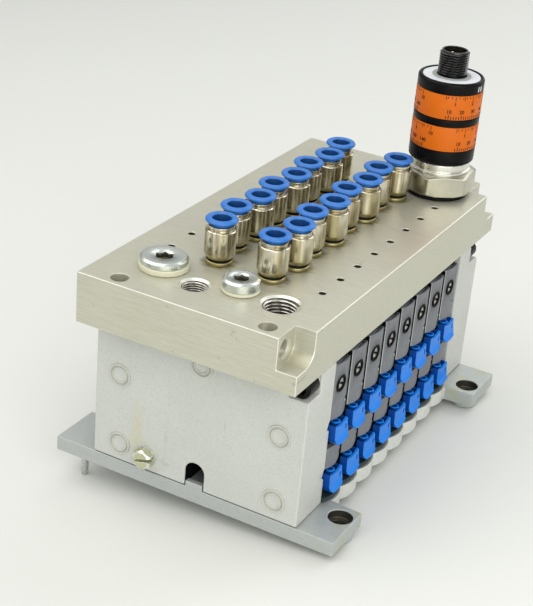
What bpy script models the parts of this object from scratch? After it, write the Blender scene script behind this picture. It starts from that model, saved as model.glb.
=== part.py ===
"""Pneumatic valve terminal: eight solenoid valve slices clamped between two end plates, on a
base plate with ears, under a connector plate with push-in fittings and a pressure switch.

Metres, +Z up, origin at the middle of the underside of the bounding box. +X is the side with the
manual overrides, +Y runs along the bank of slices. Distances called "from the corner" are
measured from the front left corner of the connector plate, the datum of the machined block."""
import math

import bmesh
import bpy
from mathutils import Matrix, Vector

# Driving dimensions
GAP = 0.0003                    # clearance between pieces that touch
PLATE_WIDTH = 0.0884            # connector plate, X
PLATE_LENGTH = 0.1755           # connector plate, Y
PLATE_THICKNESS = 0.0194
NOTCH_X, NOTCH_Y, NOTCH_DEPTH = 0.0079, 0.0119, 0.0118
NOTCH_RADIUS = 0.006            # round between a notch's floor and its back wall
VALVES = 8
PITCH = 0.014                   # one valve slice
BANK_START = 0.0314             # from the corner to the first slice
FRONT_OVERHANG = 0.0116         # connector plate beyond the front end plate
END_DEPTH = 0.0195              # end plate, Y
END_HEIGHT = 0.059
END_LEFT = 0.0018               # from the corner to the end plates' left face
BASE_THICKNESS = 0.0058
BASE_TOP = 0.018
PLATE_TOP = BASE_TOP + END_HEIGHT + PLATE_THICKNESS
SPAN = VALVES * PITCH + 2 * (END_DEPTH + GAP)  # end plates and the slices between them

EAR_OUT = 0.0151                # ears beyond the connector plate, each side
EAR_DEPTH, LEFT_EAR_DEPTH = 0.0228, 0.023
EAR_BORE_IN = 0.0055            # ear bore centre from the ear's outer edge
EAR_BORE_END = 0.0162           # ear bore centre from the base plate's end
EAR_BORE, EAR_COUNTERBORE, COUNTERBORE_DEPTH = 0.0029, 0.0046, 0.0034
BOSS_RADIUS, BOSS_DROP = 0.0053, 0.0024
PIN_RADIUS, PIN_IN, PIN_END = 0.0014, 0.0077, 0.0079
SCALLOP_CREST, SCALLOP_CUSP = 0.0913, 0.0893

SLICE_LEFT = 0.004
SLICE_CREST, SLICE_EDGE = 0.0883, 0.0873
FOOT_CREST, FOOT_EDGE, FOOT_HEIGHT = 0.0905, 0.0886, 0.0018
SLICE_THICKNESS = PITCH - GAP
CLIP_WIDTH, CLIP_HEIGHT = 0.0126, 0.0097
CLIP_BACK, CLIP_FRONT = 0.0846, 0.0903
CLIP_NOTCH = 0.083              # floor of the notch that a clip slides in
CLIP_DEPTHS = {"upper": 0.05, "lower": 0.0704}  # clip centres below the plate's top
SPOOL_DEPTH = 0.0495
SPOOL_BORE, SPOOL_LAND, SPOOL_WAIST = 0.0035, 0.0032, 0.0019
SPOOL_START, SPOOL_LENGTH = 0.006, 0.068

# Holes in the connector plate's top, as distances from the corner
THROUGH_RADIUS, THROUGH_IN, THROUGH_END = 0.00325, (0.0142, 0.0733), 0.0055
CROSS_BORE, CROSS_BORE_Y, CROSS_BORE_DEPTH = 0.003, 0.0048, 0.0055
PORT_LARGE, PORT_LARGE_AT = 0.0066, (0.069, 0.0225)
PORT_SMALL, PORT_SMALL_AT = 0.00485, (0.0379, 0.017)
PLUG_LARGE_AT, PLUG_SMALL_AT = (0.0215, 0.0225), (0.0524, 0.0234)
PORT_DEPTH = 0.012
SMALL_HOLE, SMALL_HOLE_DEPTH = 0.0015, 0.006
SMALL_HOLE_ROWS, SMALL_HOLE_START = (0.0139, 0.0761), 0.0394

FITTING_ROWS = {"left": 0.0336, "right": 0.0574}
ZIGZAG = {"left": 0.00105, "right": -0.00105}
TUBE_BORE, COLLAR_STEM, COLLAR_FLANGE = 0.00315, 0.0036, 0.00565
FITTING_BORE, FITTING_STOP = 0.0039, 0.0024
COLLAR_TOP, COLLAR_FLANGE_LOW, COLLAR_LOW = 0.0175, 0.0156, 0.0078

SENSOR_AT = (0.0687, 0.1555)
SENSOR_RADIUS = 0.01335
SENSOR_CORE = 0.0108
HEX_ACROSS, HEX_TURN = 0.0275, math.radians(-24)
RING_INNER = 0.0111
BANDS = {"reset": (0.0216, 0.0316), "set": (0.0349, 0.0448)}
CONNECTOR_RADIUS, CONNECTOR_BORE, CONNECTOR_TOP = 0.0059, 0.0044, 0.0598

EARTH_SCREW_X, ARCH_X = 0.0252, 0.0458
EARTH_SCREW_DEPTH, ARCH_DEPTH, ARCH_RADIUS = 0.072, 0.0716, 0.004

CORNER = Vector((-PLATE_WIDTH / 2, -PLATE_LENGTH / 2, PLATE_TOP))

# Turn a prism so that it runs along X with its outline in (Y, Z), or along Y with it in (Z, X)
UPRIGHT_X = Matrix(((0, 0, 1, 0), (1, 0, 0, 0), (0, 1, 0, 0), (0, 0, 0, 1)))
UPRIGHT_Y = Matrix(((0, 1, 0, 0), (0, 0, 1, 0), (1, 0, 0, 0), (0, 0, 0, 1)))


def at(x, y, z=0.0):
    """World point at (x, y) from the corner and z above the connector plate's top."""
    return CORNER + Vector((x, y, z))


def slice_middle(index):
    """Distance from the corner to the middle of slice 0, 1, ... 7."""
    return BANK_START + PITCH * (index + 0.5)


# Scene and modelling helpers

def clear_scene():
    for obj in list(bpy.data.objects):
        bpy.data.objects.remove(obj, do_unlink=True)


def make_collection(name):
    collection = bpy.data.collections.new(name)
    bpy.context.scene.collection.children.link(collection)
    return collection


def make_material(name, colour, roughness, metallic):
    material = bpy.data.materials.new(name)
    material.use_nodes = True
    shader = material.node_tree.nodes["Principled BSDF"]
    shader.inputs["Base Color"].default_value = (*colour, 1.0)
    shader.inputs["Roughness"].default_value = roughness
    shader.inputs["Metallic"].default_value = metallic
    return material


def add_object(name, mesh, collection, material=None):
    obj = bpy.data.objects.new(name, mesh)
    collection.objects.link(obj)
    if material:
        mesh.materials.clear()
        mesh.materials.append(material)
    if collection is CUTTERS:
        obj.hide_render = True
        obj.display_type = "WIRE"
    return obj


def mesh_from(name, bm):
    mesh = bpy.data.meshes.new(name)
    bm.to_mesh(mesh)
    bm.free()
    return mesh


def box(name, low, high, collection, material=None):
    """Box between two opposite corners, its mesh in world coordinates."""
    size = Vector(high) - Vector(low)
    middle = (Vector(high) + Vector(low)) / 2
    bm = bmesh.new()
    bmesh.ops.create_cube(bm, size=1.0, matrix=Matrix.Translation(middle) @ Matrix.Diagonal((*size, 1.0)))
    return add_object(name, mesh_from(name, bm), collection, material)


def rod(name, start, end, radius, segments=16):
    """Cylindrical cutter between two points."""
    start, end = Vector(start), Vector(end)
    turn = (end - start).to_track_quat("Z", "Y").to_matrix().to_4x4()
    bm = bmesh.new()
    bmesh.ops.create_cone(bm, cap_ends=True, segments=segments, radius1=radius, radius2=radius,
                          depth=(end - start).length, matrix=Matrix.Translation((start + end) / 2) @ turn)
    return add_object(name, mesh_from(name, bm), CUTTERS)


def apply_modifiers(obj):
    """Freezes the evaluated shape into the object's own mesh."""
    bpy.context.view_layer.update()
    evaluated = obj.evaluated_get(bpy.context.evaluated_depsgraph_get())
    mesh = bpy.data.meshes.new_from_object(evaluated)
    obj.modifiers.clear()
    obj.data = mesh
    return obj


def turned(name, profile, collection, material=None, steps=24):
    """Solid of revolution about Z. The profile runs down the outer side, as (radius, height); it is
    closed into a ring where it does not start on the axis."""
    bm = bmesh.new()
    points = [bm.verts.new((radius, 0.0, height)) for radius, height in profile]
    for first, second in zip(points, points[1:]):
        bm.edges.new((first, second))
    if profile[0][0] > 0:
        bm.edges.new((points[-1], points[0]))
    obj = add_object(name, mesh_from(name, bm), collection)
    screw = obj.modifiers.new("turn", "SCREW")
    screw.axis = "Z"
    screw.steps = screw.render_steps = steps
    screw.use_merge_vertices = True
    screw.merge_threshold = 0.00001
    apply_modifiers(obj)
    if material:
        obj.data.materials.clear()
        obj.data.materials.append(material)
    return obj


def prism(name, outline, low, high, collection, material=None):
    """Flat outline in XY, filled and extruded from height low to height high."""
    curve = bpy.data.curves.new(name, "CURVE")
    curve.dimensions = "2D"
    curve.fill_mode = "BOTH"
    curve.extrude = (high - low) / 2
    spline = curve.splines.new("POLY")
    spline.points.add(len(outline) - 1)
    for point, (x, y) in zip(spline.points, outline):
        point.co = (x, y, 0.0, 1.0)
    spline.use_cyclic_u = True
    guide = bpy.data.objects.new(name + "_outline", curve)
    CUTTERS.objects.link(guide)
    bpy.context.view_layer.update()
    evaluated = guide.evaluated_get(bpy.context.evaluated_depsgraph_get())
    mesh = bpy.data.meshes.new_from_object(evaluated)
    bpy.data.objects.remove(guide, do_unlink=True)
    bm = bmesh.new()
    bm.from_mesh(mesh)
    bmesh.ops.remove_doubles(bm, verts=bm.verts, dist=0.000001)
    bmesh.ops.dissolve_limit(bm, angle_limit=math.radians(1), verts=bm.verts, edges=bm.edges)
    bmesh.ops.translate(bm, verts=bm.verts, vec=(0.0, 0.0, (low + high) / 2))
    bmesh.ops.recalc_face_normals(bm, faces=bm.faces)
    bm.to_mesh(mesh)
    bm.free()
    return add_object(name, mesh, collection, material)


def boolean(obj, other, operation="DIFFERENCE"):
    modifier = obj.modifiers.new(other.name, "BOOLEAN")
    modifier.operation = operation
    modifier.solver = "EXACT"
    modifier.object = other
    return obj


def bevel(obj, width, segments=1):
    modifier = obj.modifiers.new("edges", "BEVEL")
    modifier.width = width
    modifier.segments = segments
    modifier.limit_method = "ANGLE"
    modifier.angle_limit = math.radians(40)
    return obj


def smooth(obj, angle=35):
    obj.data.shade_smooth()
    obj.data.set_sharp_from_angle(angle=math.radians(angle))
    return obj


def copy_of(source, name, collection, location):
    obj = bpy.data.objects.new(name, source.data)
    obj.location = location
    obj.rotation_euler = source.rotation_euler
    collection.objects.link(obj)
    return obj


def bulge(crest, edge, half_width, middle, steps=4):
    """Points of a shallow arc that bulges to +X, from low Y to high Y."""
    rise = crest - edge
    radius = (half_width ** 2 + rise ** 2) / (2 * rise)
    points = []
    for step in range(steps + 1):
        y = half_width * (2 * step / steps - 1)
        points.append((crest - radius + math.sqrt(radius ** 2 - y ** 2), middle + y))
    return points


# Connector plate and its push-in fittings

def fitting_place(row, index):
    """(x, y) of a fitting from the corner. The two rows zigzag against each other."""
    side = 1 if index % 2 == 0 else -1
    return FITTING_ROWS[row] + side * ZIGZAG[row], slice_middle(index)


def fitting_cutters():
    body = turned("fitting_body", [(0, 0.014), (0.0047, 0.014), (0.0047, 0.0132), (0.0057, 0.0132),
                                   (0.0057, 0.004), (0.0049, 0.0024), (0.0049, -0.002), (0, -0.002)],
                  CUTTERS, steps=12)
    bore = turned("fitting_bore", [(0, 0.02), (FITTING_BORE, 0.02), (FITTING_BORE, 0.006),
                                   (FITTING_STOP, 0.006), (FITTING_STOP, -0.008), (0, -0.008)],
                  CUTTERS, steps=12)
    return body, bore


def notch_cutter(end):
    """Cutter of a corner notch on the +X side; end is 0 at the front and 1 at the rear."""
    inward = 1 if end == 0 else -1
    wall = inward * NOTCH_Y
    outline = [(-inward * 0.002, 0.002), (wall, 0.002)]
    for step in range(5):
        angle = step / 4 * math.pi / 2
        outline.append((wall - inward * NOTCH_RADIUS * (1 - math.cos(angle)),
                        -NOTCH_DEPTH + NOTCH_RADIUS * (1 - math.sin(angle))))
    outline.append((-inward * 0.002, -NOTCH_DEPTH))
    cutter = prism("notch_cutter_%d" % end, outline, -NOTCH_X, 0.002, CUTTERS)
    cutter.matrix_world = Matrix.Translation(at(PLATE_WIDTH, end * PLATE_LENGTH)) @ UPRIGHT_X
    return cutter


def make_connector_plate(material):
    plate = box("connector_plate", at(0, 0, -PLATE_THICKNESS), at(PLATE_WIDTH, PLATE_LENGTH), PARTS,
                material)
    for end in (0, 1):
        boolean(plate, notch_cutter(end))
    body, bore = fitting_cutters()
    bodies, holes = make_collection("fitting bodies"), make_collection("plate bores")
    for row in FITTING_ROWS:
        for index in range(VALVES):
            place = at(*fitting_place(row, index))
            copy_of(body, "body_%s_%d" % (row, index + 1), bodies, place)
            copy_of(bore, "bore_%s_%d" % (row, index + 1), holes, place)
    through = PLATE_THICKNESS + 0.001
    left, right = THROUGH_IN
    round_holes = [  # centre, radius, depth
        ((left, THROUGH_END), THROUGH_RADIUS, through),
        ((right, THROUGH_END), THROUGH_RADIUS, through),
        ((left, PLATE_LENGTH - THROUGH_END), THROUGH_RADIUS, through),
        (PORT_LARGE_AT, PORT_LARGE, PORT_DEPTH), (PLUG_LARGE_AT, PORT_LARGE, PORT_DEPTH),
        (PORT_SMALL_AT, PORT_SMALL, PORT_DEPTH), (PLUG_SMALL_AT, PORT_SMALL, PORT_DEPTH),
        (SENSOR_AT, PORT_LARGE, PORT_DEPTH)]
    for index in range(VALVES):
        for x in SMALL_HOLE_ROWS:
            round_holes.append(((x, SMALL_HOLE_START + PITCH * index), SMALL_HOLE, SMALL_HOLE_DEPTH))
    cutters = [rod("cross_bore", at(right, CROSS_BORE_Y, -CROSS_BORE_DEPTH),
                   at(PLATE_WIDTH, CROSS_BORE_Y, -CROSS_BORE_DEPTH), CROSS_BORE)]
    for number, (centre, radius, depth) in enumerate(round_holes):
        cutters.append(rod("plate_hole_%d" % number, at(*centre, -depth), at(*centre, 0.002), radius,
                           8 if radius == SMALL_HOLE else 16))
    for cutter in cutters:
        CUTTERS.objects.unlink(cutter)
        holes.objects.link(cutter)
    for collection, operation in ((bodies, "UNION"), (holes, "DIFFERENCE")):
        modifier = plate.modifiers.new(collection.name, "BOOLEAN")
        modifier.operation = operation
        modifier.solver = "EXACT"
        modifier.operand_type = "COLLECTION"
        modifier.collection = collection
        for obj in collection.objects:
            obj.hide_render = True
            obj.display_type = "WIRE"
    apply_modifiers(plate)
    return smooth(plate, 30)


def make_release_collars(material):
    """Push-in release collars: each slides down in its fitting to free the tube."""
    profile = [(TUBE_BORE, COLLAR_TOP), (COLLAR_FLANGE, COLLAR_TOP),
               (COLLAR_FLANGE, COLLAR_FLANGE_LOW), (COLLAR_STEM, COLLAR_FLANGE_LOW),
               (COLLAR_STEM, COLLAR_LOW), (TUBE_BORE, COLLAR_LOW)]
    pattern = turned("collar_pattern", profile, CUTTERS, material, steps=12)
    smooth(pattern)
    for row in FITTING_ROWS:
        for index in range(VALVES):
            name = "release_collar_%s_%d" % (row, index + 1)
            copy_of(pattern, name, PARTS, at(*fitting_place(row, index)))


def make_plug(name, place, washer, step, head, top, shank, socket_hex, material):
    """Screw plug with a hexagon socket: radius and thickness of its washer, radius and top of its
    head, radius of its shank, and the width across the flats of its socket."""
    chamfer, corner, floor = 0.0006, socket_hex / math.sqrt(3), top - 0.0026
    profile = [(0, top), (head - chamfer, top), (head, top - chamfer), (head, step), (washer, step),
               (washer, GAP), (shank, GAP), (shank, -0.009), (0, -0.009)]
    plug = turned(name, profile, PARTS, material, steps=24)
    boolean(plug, turned(name + "_socket", [(0, 0.01), (corner, 0.01), (corner, floor), (0, floor)],
                         CUTTERS, steps=6))
    apply_modifiers(plug)
    plug.location = at(*place)
    return smooth(plug)


# Pressure switch

def make_sensor(metal, black, orange):
    place = at(*SENSOR_AT)
    corner = HEX_ACROSS / math.sqrt(3)
    hexagon = turned("sensor_hexagon", [(0, 0.0107), (corner, 0.0107), (corner, 0.0022), (0, 0.0022)],
                     CUTTERS, steps=6)
    hexagon.rotation_euler.z = HEX_TURN
    body = turned("sensor_body", [(0, 0.015), (0.0122, 0.015), (0.0122, GAP), (0.0063, GAP),
                                  (0.0063, -0.009), (0, -0.009)], PARTS, metal, steps=24)
    boolean(body, hexagon, "UNION")
    apply_modifiers(body)
    body.location = place
    smooth(body)

    radius, core = SENSOR_RADIUS, SENSOR_CORE
    housing = turned("sensor_housing", sensor_outline(radius, core, BANDS["reset"], BANDS["set"]),
                     PARTS, black, steps=24)
    housing.location = place
    boolean(housing, rod("connector_socket", at(*SENSOR_AT, CONNECTOR_TOP - 0.008),
                         at(*SENSOR_AT, CONNECTOR_TOP + 0.01), CONNECTOR_BORE, 24))
    smooth(housing)

    for name, (bottom, top) in BANDS.items():
        profile = [(RING_INNER, top), (radius, top), (radius, bottom), (RING_INNER, bottom)]
        ring = turned(name + "_ring", profile, PARTS, orange, steps=24)
        ring.location = place
        smooth(ring)


def sensor_outline(radius, core, low, high):
    """Outer outline of the pressure switch's housing, with a groove for each setting ring."""
    return [(0, CONNECTOR_TOP), (CONNECTOR_RADIUS, CONNECTOR_TOP), (CONNECTOR_RADIUS, 0.0496),
            (radius - 0.001, 0.0496), (radius, 0.0488), (radius, high[1] + GAP),
            (core, high[1] + GAP), (core, high[0] - GAP), (radius, high[0] - GAP),
            (radius, low[1] + GAP), (core, low[1] + GAP), (core, low[0] - GAP),
            (radius, low[0] - GAP), (radius - 0.0008, 0.0153), (0, 0.0153)]


# End plates and base plate

def make_end_plate(name, start, material):
    """Cast end plate; start is its front face's distance from the corner."""
    low = -PLATE_THICKNESS - END_HEIGHT + GAP
    high = -PLATE_THICKNESS - GAP
    plate = box(name, at(END_LEFT, start, low), at(PLATE_WIDTH, start + END_DEPTH, high), PARTS, material)
    bevel(plate, 0.0006)
    outer = start if start < PLATE_LENGTH / 2 else start + END_DEPTH
    inward = 1 if start < PLATE_LENGTH / 2 else -1
    edges = sorted((outer - inward * 0.001, outer + inward * 0.0089))
    pocket = box(name + "_pocket", at(0.08, edges[0], high - 0.0077), at(0.1, edges[1], 0), CUTTERS)
    boolean(plate, pocket)
    return plate


def make_front_end_plate(material):
    plate = make_end_plate("front_end_plate", FRONT_OVERHANG, material)
    front, back, steps = FRONT_OVERHANG - 0.001, FRONT_OVERHANG + 0.008, 12
    arch = [(-END_HEIGHT - 0.03, -ARCH_RADIUS)]
    for step in range(steps + 1):
        angle = math.pi * (step / steps - 0.5)
        arch.append((-ARCH_DEPTH + ARCH_RADIUS * math.cos(angle), ARCH_RADIUS * math.sin(angle)))
    arch.append((-END_HEIGHT - 0.03, ARCH_RADIUS))
    cutter = prism("arch_cutter", arch, front, back, CUTTERS)
    cutter.matrix_world = Matrix.Translation(at(ARCH_X, 0)) @ UPRIGHT_Y
    boolean(plate, cutter)
    boolean(plate, rod("earth_bore", at(EARTH_SCREW_X, front, -EARTH_SCREW_DEPTH),
                       at(EARTH_SCREW_X, back, -EARTH_SCREW_DEPTH), 0.0023, 12))
    return apply_modifiers(plate)


def base_outline():
    """Base plate seen from above: four ears, and a scalloped edge that follows the slices."""
    left, right = -EAR_OUT, PLATE_WIDTH + EAR_OUT
    near, far = FRONT_OVERHANG, FRONT_OVERHANG + SPAN
    ear_near, ear_far = near + EAR_DEPTH, far - EAR_DEPTH
    points = [(left, near), (right, near), (right, ear_near)]
    for index in range(VALVES):
        arc = bulge(SCALLOP_CREST, SCALLOP_CUSP, PITCH / 2, slice_middle(index))
        points += [point for point in arc[:-1] if ear_near < point[1] < ear_far]
    left_near, left_far = near + LEFT_EAR_DEPTH, far - LEFT_EAR_DEPTH
    points += [(right, ear_far), (right, far), (left, far), (left, left_far),
               (END_LEFT, left_far), (END_LEFT, left_near), (left, left_near)]
    return points


def make_base_plate(material):
    underside = -PLATE_THICKNESS - END_HEIGHT - BASE_THICKNESS
    base = prism("base_plate", base_outline(), underside, underside + BASE_THICKNESS, PARTS, material)
    base.location = CORNER
    near, far = FRONT_OVERHANG, FRONT_OVERHANG + SPAN
    bore_x, pin_x = PLATE_WIDTH + EAR_OUT - EAR_BORE_IN, PIN_IN - EAR_OUT
    top = underside + BASE_THICKNESS
    for y in (near + EAR_BORE_END, far - EAR_BORE_END):
        boolean(base, rod("boss", at(bore_x, y, underside - BOSS_DROP),
                          at(bore_x, y, underside + 0.001), BOSS_RADIUS, 20), "UNION")
        boolean(base, rod("bore", at(bore_x, y, underside - 0.01), at(bore_x, y, top + 0.01), EAR_BORE))
        boolean(base, rod("counterbore", at(bore_x, y, top - COUNTERBORE_DEPTH),
                          at(bore_x, y, top + 0.01), EAR_COUNTERBORE))
    for y in (near + PIN_END, far - PIN_END):
        boolean(base, rod("pin", at(pin_x, y, -PLATE_TOP), at(pin_x, y, underside + 0.001),
                          PIN_RADIUS, 12), "UNION")
    boolean(base, box("arch_tab", at(ARCH_X - 0.0036, near, top - 0.001),
                      at(ARCH_X + 0.0036, near + 0.0024, top + 0.0024), CUTTERS), "UNION")
    return apply_modifiers(base)


# Valve slices

def make_slices(slice_material, spool_material, clip_material):
    bottom = -PLATE_THICKNESS - END_HEIGHT + GAP
    top = -PLATE_THICKNESS - GAP
    half = SLICE_THICKNESS / 2
    outline = bulge(SLICE_CREST, SLICE_EDGE, half, 0.0) + [(SLICE_LEFT, half), (SLICE_LEFT, -half)]
    pattern = prism("slice_pattern", outline, bottom, top, CUTTERS, slice_material)
    foot_outline = bulge(FOOT_CREST, FOOT_EDGE, half, 0.0) + [(0.08, half), (0.08, -half)]
    boolean(pattern, prism("slice_foot", foot_outline, bottom, bottom + FOOT_HEIGHT, CUTTERS), "UNION")
    for depth in CLIP_DEPTHS.values():
        reach = CLIP_HEIGHT / 2 + 0.0005
        boolean(pattern, box("clip_notch", (CLIP_NOTCH, -0.01, -depth - reach),
                             (0.1, 0.01, -depth + reach), CUTTERS))
    boolean(pattern, rod("spool_bore", (SLICE_LEFT - 0.001, 0, -SPOOL_DEPTH),
                         (SPOOL_START + SPOOL_LENGTH + 0.002, 0, -SPOOL_DEPTH), SPOOL_BORE, 12))
    apply_modifiers(pattern)
    smooth(pattern, 20)

    spool = turned("spool_pattern", spool_profile(), CUTTERS, spool_material, steps=8)
    spool.rotation_euler.y = math.radians(90)
    smooth(spool)
    clip = box("clip_pattern", (CLIP_BACK, -CLIP_WIDTH / 2, -CLIP_HEIGHT / 2),
               (CLIP_FRONT, CLIP_WIDTH / 2, CLIP_HEIGHT / 2), CUTTERS, clip_material)
    apply_modifiers(bevel(clip, 0.0006))
    for index in range(VALVES):
        y = slice_middle(index)
        copy_of(pattern, "valve_slice_%d" % (index + 1), PARTS, at(0, y))
        copy_of(spool, "valve_spool_%d" % (index + 1), PARTS, at(SPOOL_START, y, -SPOOL_DEPTH))
        for level, depth in CLIP_DEPTHS.items():
            copy_of(clip, "override_clip_%s_%d" % (level, index + 1), PARTS, at(0, y, -depth))


def spool_profile():
    """Valve spool: lands that seal in the bore, with waists between them for the air."""
    lands, land_length = 3, 0.012
    space = (SPOOL_LENGTH - lands * land_length) / (lands - 1)
    profile = [(0, SPOOL_LENGTH)]
    for number in range(lands):
        high = SPOOL_LENGTH - number * (land_length + space)
        if number:
            profile.append((SPOOL_WAIST, high))
        profile += [(SPOOL_LAND, high), (SPOOL_LAND, high - land_length)]
        if number < lands - 1:
            profile.append((SPOOL_WAIST, high - land_length))
    return profile + [(0, 0)]


# Fasteners and electrical connection

def make_earth_screw(material):
    """Slotted hexagon screw with its washer, for the earth wire, on the front end plate."""
    profile = [(0, 0.001), (0.0043, 0.001), (0.0043, GAP), (0.002, GAP), (0.002, -0.007), (0, -0.007)]
    screw = turned("earth_screw", profile, PARTS, material, steps=12)
    head = [(0, 0.0038), (0.00404, 0.0038), (0.00404, 0.0006), (0, 0.0006)]
    boolean(screw, turned("earth_head", head, CUTTERS, steps=6), "UNION")
    boolean(screw, box("earth_slot", (-0.005, -0.0005, 0.0026), (0.005, 0.0005, 0.005), CUTTERS))
    apply_modifiers(screw)
    screw.location = at(EARTH_SCREW_X, FRONT_OVERHANG, -EARTH_SCREW_DEPTH)
    screw.rotation_euler.x = math.radians(90)
    return smooth(screw)


def make_multipin_connector(material):
    """Electrical connection of the coils, a flat cover with a multipin socket on the -X side."""
    near, far = BANK_START + 0.0016, BANK_START + VALVES * PITCH - 0.0016
    middle = (near + far) / 2
    cover = box("multipin_connector", at(-0.0066, near, -0.075), at(SLICE_LEFT - GAP, far, -0.0235),
                PARTS, material)
    bevel(cover, 0.001)
    boolean(cover, box("multipin_socket", at(-0.01, middle - 0.0205, -0.0545),
                       at(-0.001, middle + 0.0205, -0.0455), CUTTERS))
    return apply_modifiers(cover)


clear_scene()
PARTS = make_collection("valve_terminal")
CUTTERS = make_collection("cutters")
ANODISED = make_material("anodised_aluminium", (0.66, 0.65, 0.60), 0.42, 0.85)
CAST = make_material("cast_metal", (0.62, 0.62, 0.58), 0.5, 0.4)
PLAIN_ALUMINIUM = make_material("plain_aluminium", (0.60, 0.63, 0.64), 0.45, 0.85)
SLICE_GREY = make_material("valve_grey", (0.16, 0.16, 0.17), 0.5, 0.1)
SPOOL_METAL = make_material("spool_metal", (0.7, 0.7, 0.7), 0.3, 1.0)
OVERRIDE_BLUE = make_material("override_blue", (0.02, 0.17, 0.6), 0.35, 0.0)
COLLAR_BLUE = make_material("collar_blue", (0.03, 0.18, 0.62), 0.35, 0.0)
NICKEL = make_material("nickel", (0.66, 0.64, 0.58), 0.25, 1.0)
ZINC = make_material("zinc", (0.75, 0.77, 0.76), 0.3, 1.0)
BLACK = make_material("black_plastic", (0.02, 0.02, 0.022), 0.4, 0.0)
ORANGE = make_material("ring_orange", (0.85, 0.25, 0.03), 0.45, 0.0)

make_connector_plate(ANODISED)
make_release_collars(COLLAR_BLUE)
make_plug("plug_large", PLUG_LARGE_AT, 0.0092, 0.0022, 0.0087, 0.0047, 0.0062, 0.006, ZINC)
make_plug("plug_small", PLUG_SMALL_AT, 0.0069, 0.0016, 0.0067, 0.005, 0.0045, 0.005, ZINC)
make_sensor(NICKEL, BLACK, ORANGE)
make_front_end_plate(CAST)
apply_modifiers(make_end_plate("rear_end_plate", BANK_START + VALVES * PITCH + GAP, CAST))
make_base_plate(PLAIN_ALUMINIUM)
make_slices(SLICE_GREY, SPOOL_METAL, OVERRIDE_BLUE)
make_earth_screw(ZINC)
make_multipin_connector(BLACK)
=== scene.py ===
"""Looks of the pneumatic valve terminal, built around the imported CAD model.

Metres, +Z up, in the CAD model's frame. "From the corner" means from the front left corner of the
connector plate's top, the datum that the CAD model uses too."""
import math

import bmesh
import bpy
from mathutils import Matrix, Vector


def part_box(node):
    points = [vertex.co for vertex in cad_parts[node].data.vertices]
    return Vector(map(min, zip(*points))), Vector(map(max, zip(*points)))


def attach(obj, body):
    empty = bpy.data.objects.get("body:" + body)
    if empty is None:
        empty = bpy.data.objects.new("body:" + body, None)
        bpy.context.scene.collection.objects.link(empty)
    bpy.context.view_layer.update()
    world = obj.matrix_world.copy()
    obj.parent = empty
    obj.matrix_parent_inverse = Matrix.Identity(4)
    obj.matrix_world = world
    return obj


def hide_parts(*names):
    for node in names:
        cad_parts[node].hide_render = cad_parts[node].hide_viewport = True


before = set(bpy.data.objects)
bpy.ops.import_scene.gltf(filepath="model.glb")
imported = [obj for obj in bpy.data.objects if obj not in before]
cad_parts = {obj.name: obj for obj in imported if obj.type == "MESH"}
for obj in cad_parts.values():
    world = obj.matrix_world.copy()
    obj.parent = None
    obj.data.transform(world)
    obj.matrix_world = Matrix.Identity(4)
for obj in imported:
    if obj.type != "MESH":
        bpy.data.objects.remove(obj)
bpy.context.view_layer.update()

# Places and sizes read from the frame
VALVES = 8
PLATE_LOW, PLATE_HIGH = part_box("connector_plate")
FRONT_LOW, FRONT_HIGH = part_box("front_end_plate")
REAR_LOW, REAR_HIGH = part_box("rear_end_plate")
BASE_LOW, BASE_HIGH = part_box("base_plate")
SLICES = [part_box("valve_slice_%d" % (index + 1)) for index in range(VALVES)]
SLICE_MIDDLES = [(low.y + high.y) / 2 for low, high in SLICES]
GAP = PLATE_LOW.z - FRONT_HIGH.z
PLATE_THICKNESS = 0.0194
BASE_TOP = FRONT_LOW.z - GAP
BASE_THICKNESS = 0.0058
PITCH = SLICES[1][0].y - SLICES[0][0].y
CORNER = Vector((PLATE_LOW.x, PLATE_LOW.y, PLATE_LOW.z + PLATE_THICKNESS))
WIDTH, LENGTH = PLATE_HIGH.x - PLATE_LOW.x, PLATE_HIGH.y - PLATE_LOW.y


def at(x, y, z=0.0):
    """Point at (x, y) from the corner and z above the connector plate's top."""
    return CORNER + Vector((x, y, z))


def on_front(x, z):
    """Point on the front end plate's face, x and z from the corner."""
    return Vector((CORNER.x + x, FRONT_LOW.y, CORNER.z + z))


def middle(node):
    low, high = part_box(node)
    return (low + high) / 2


# Materials

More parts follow.
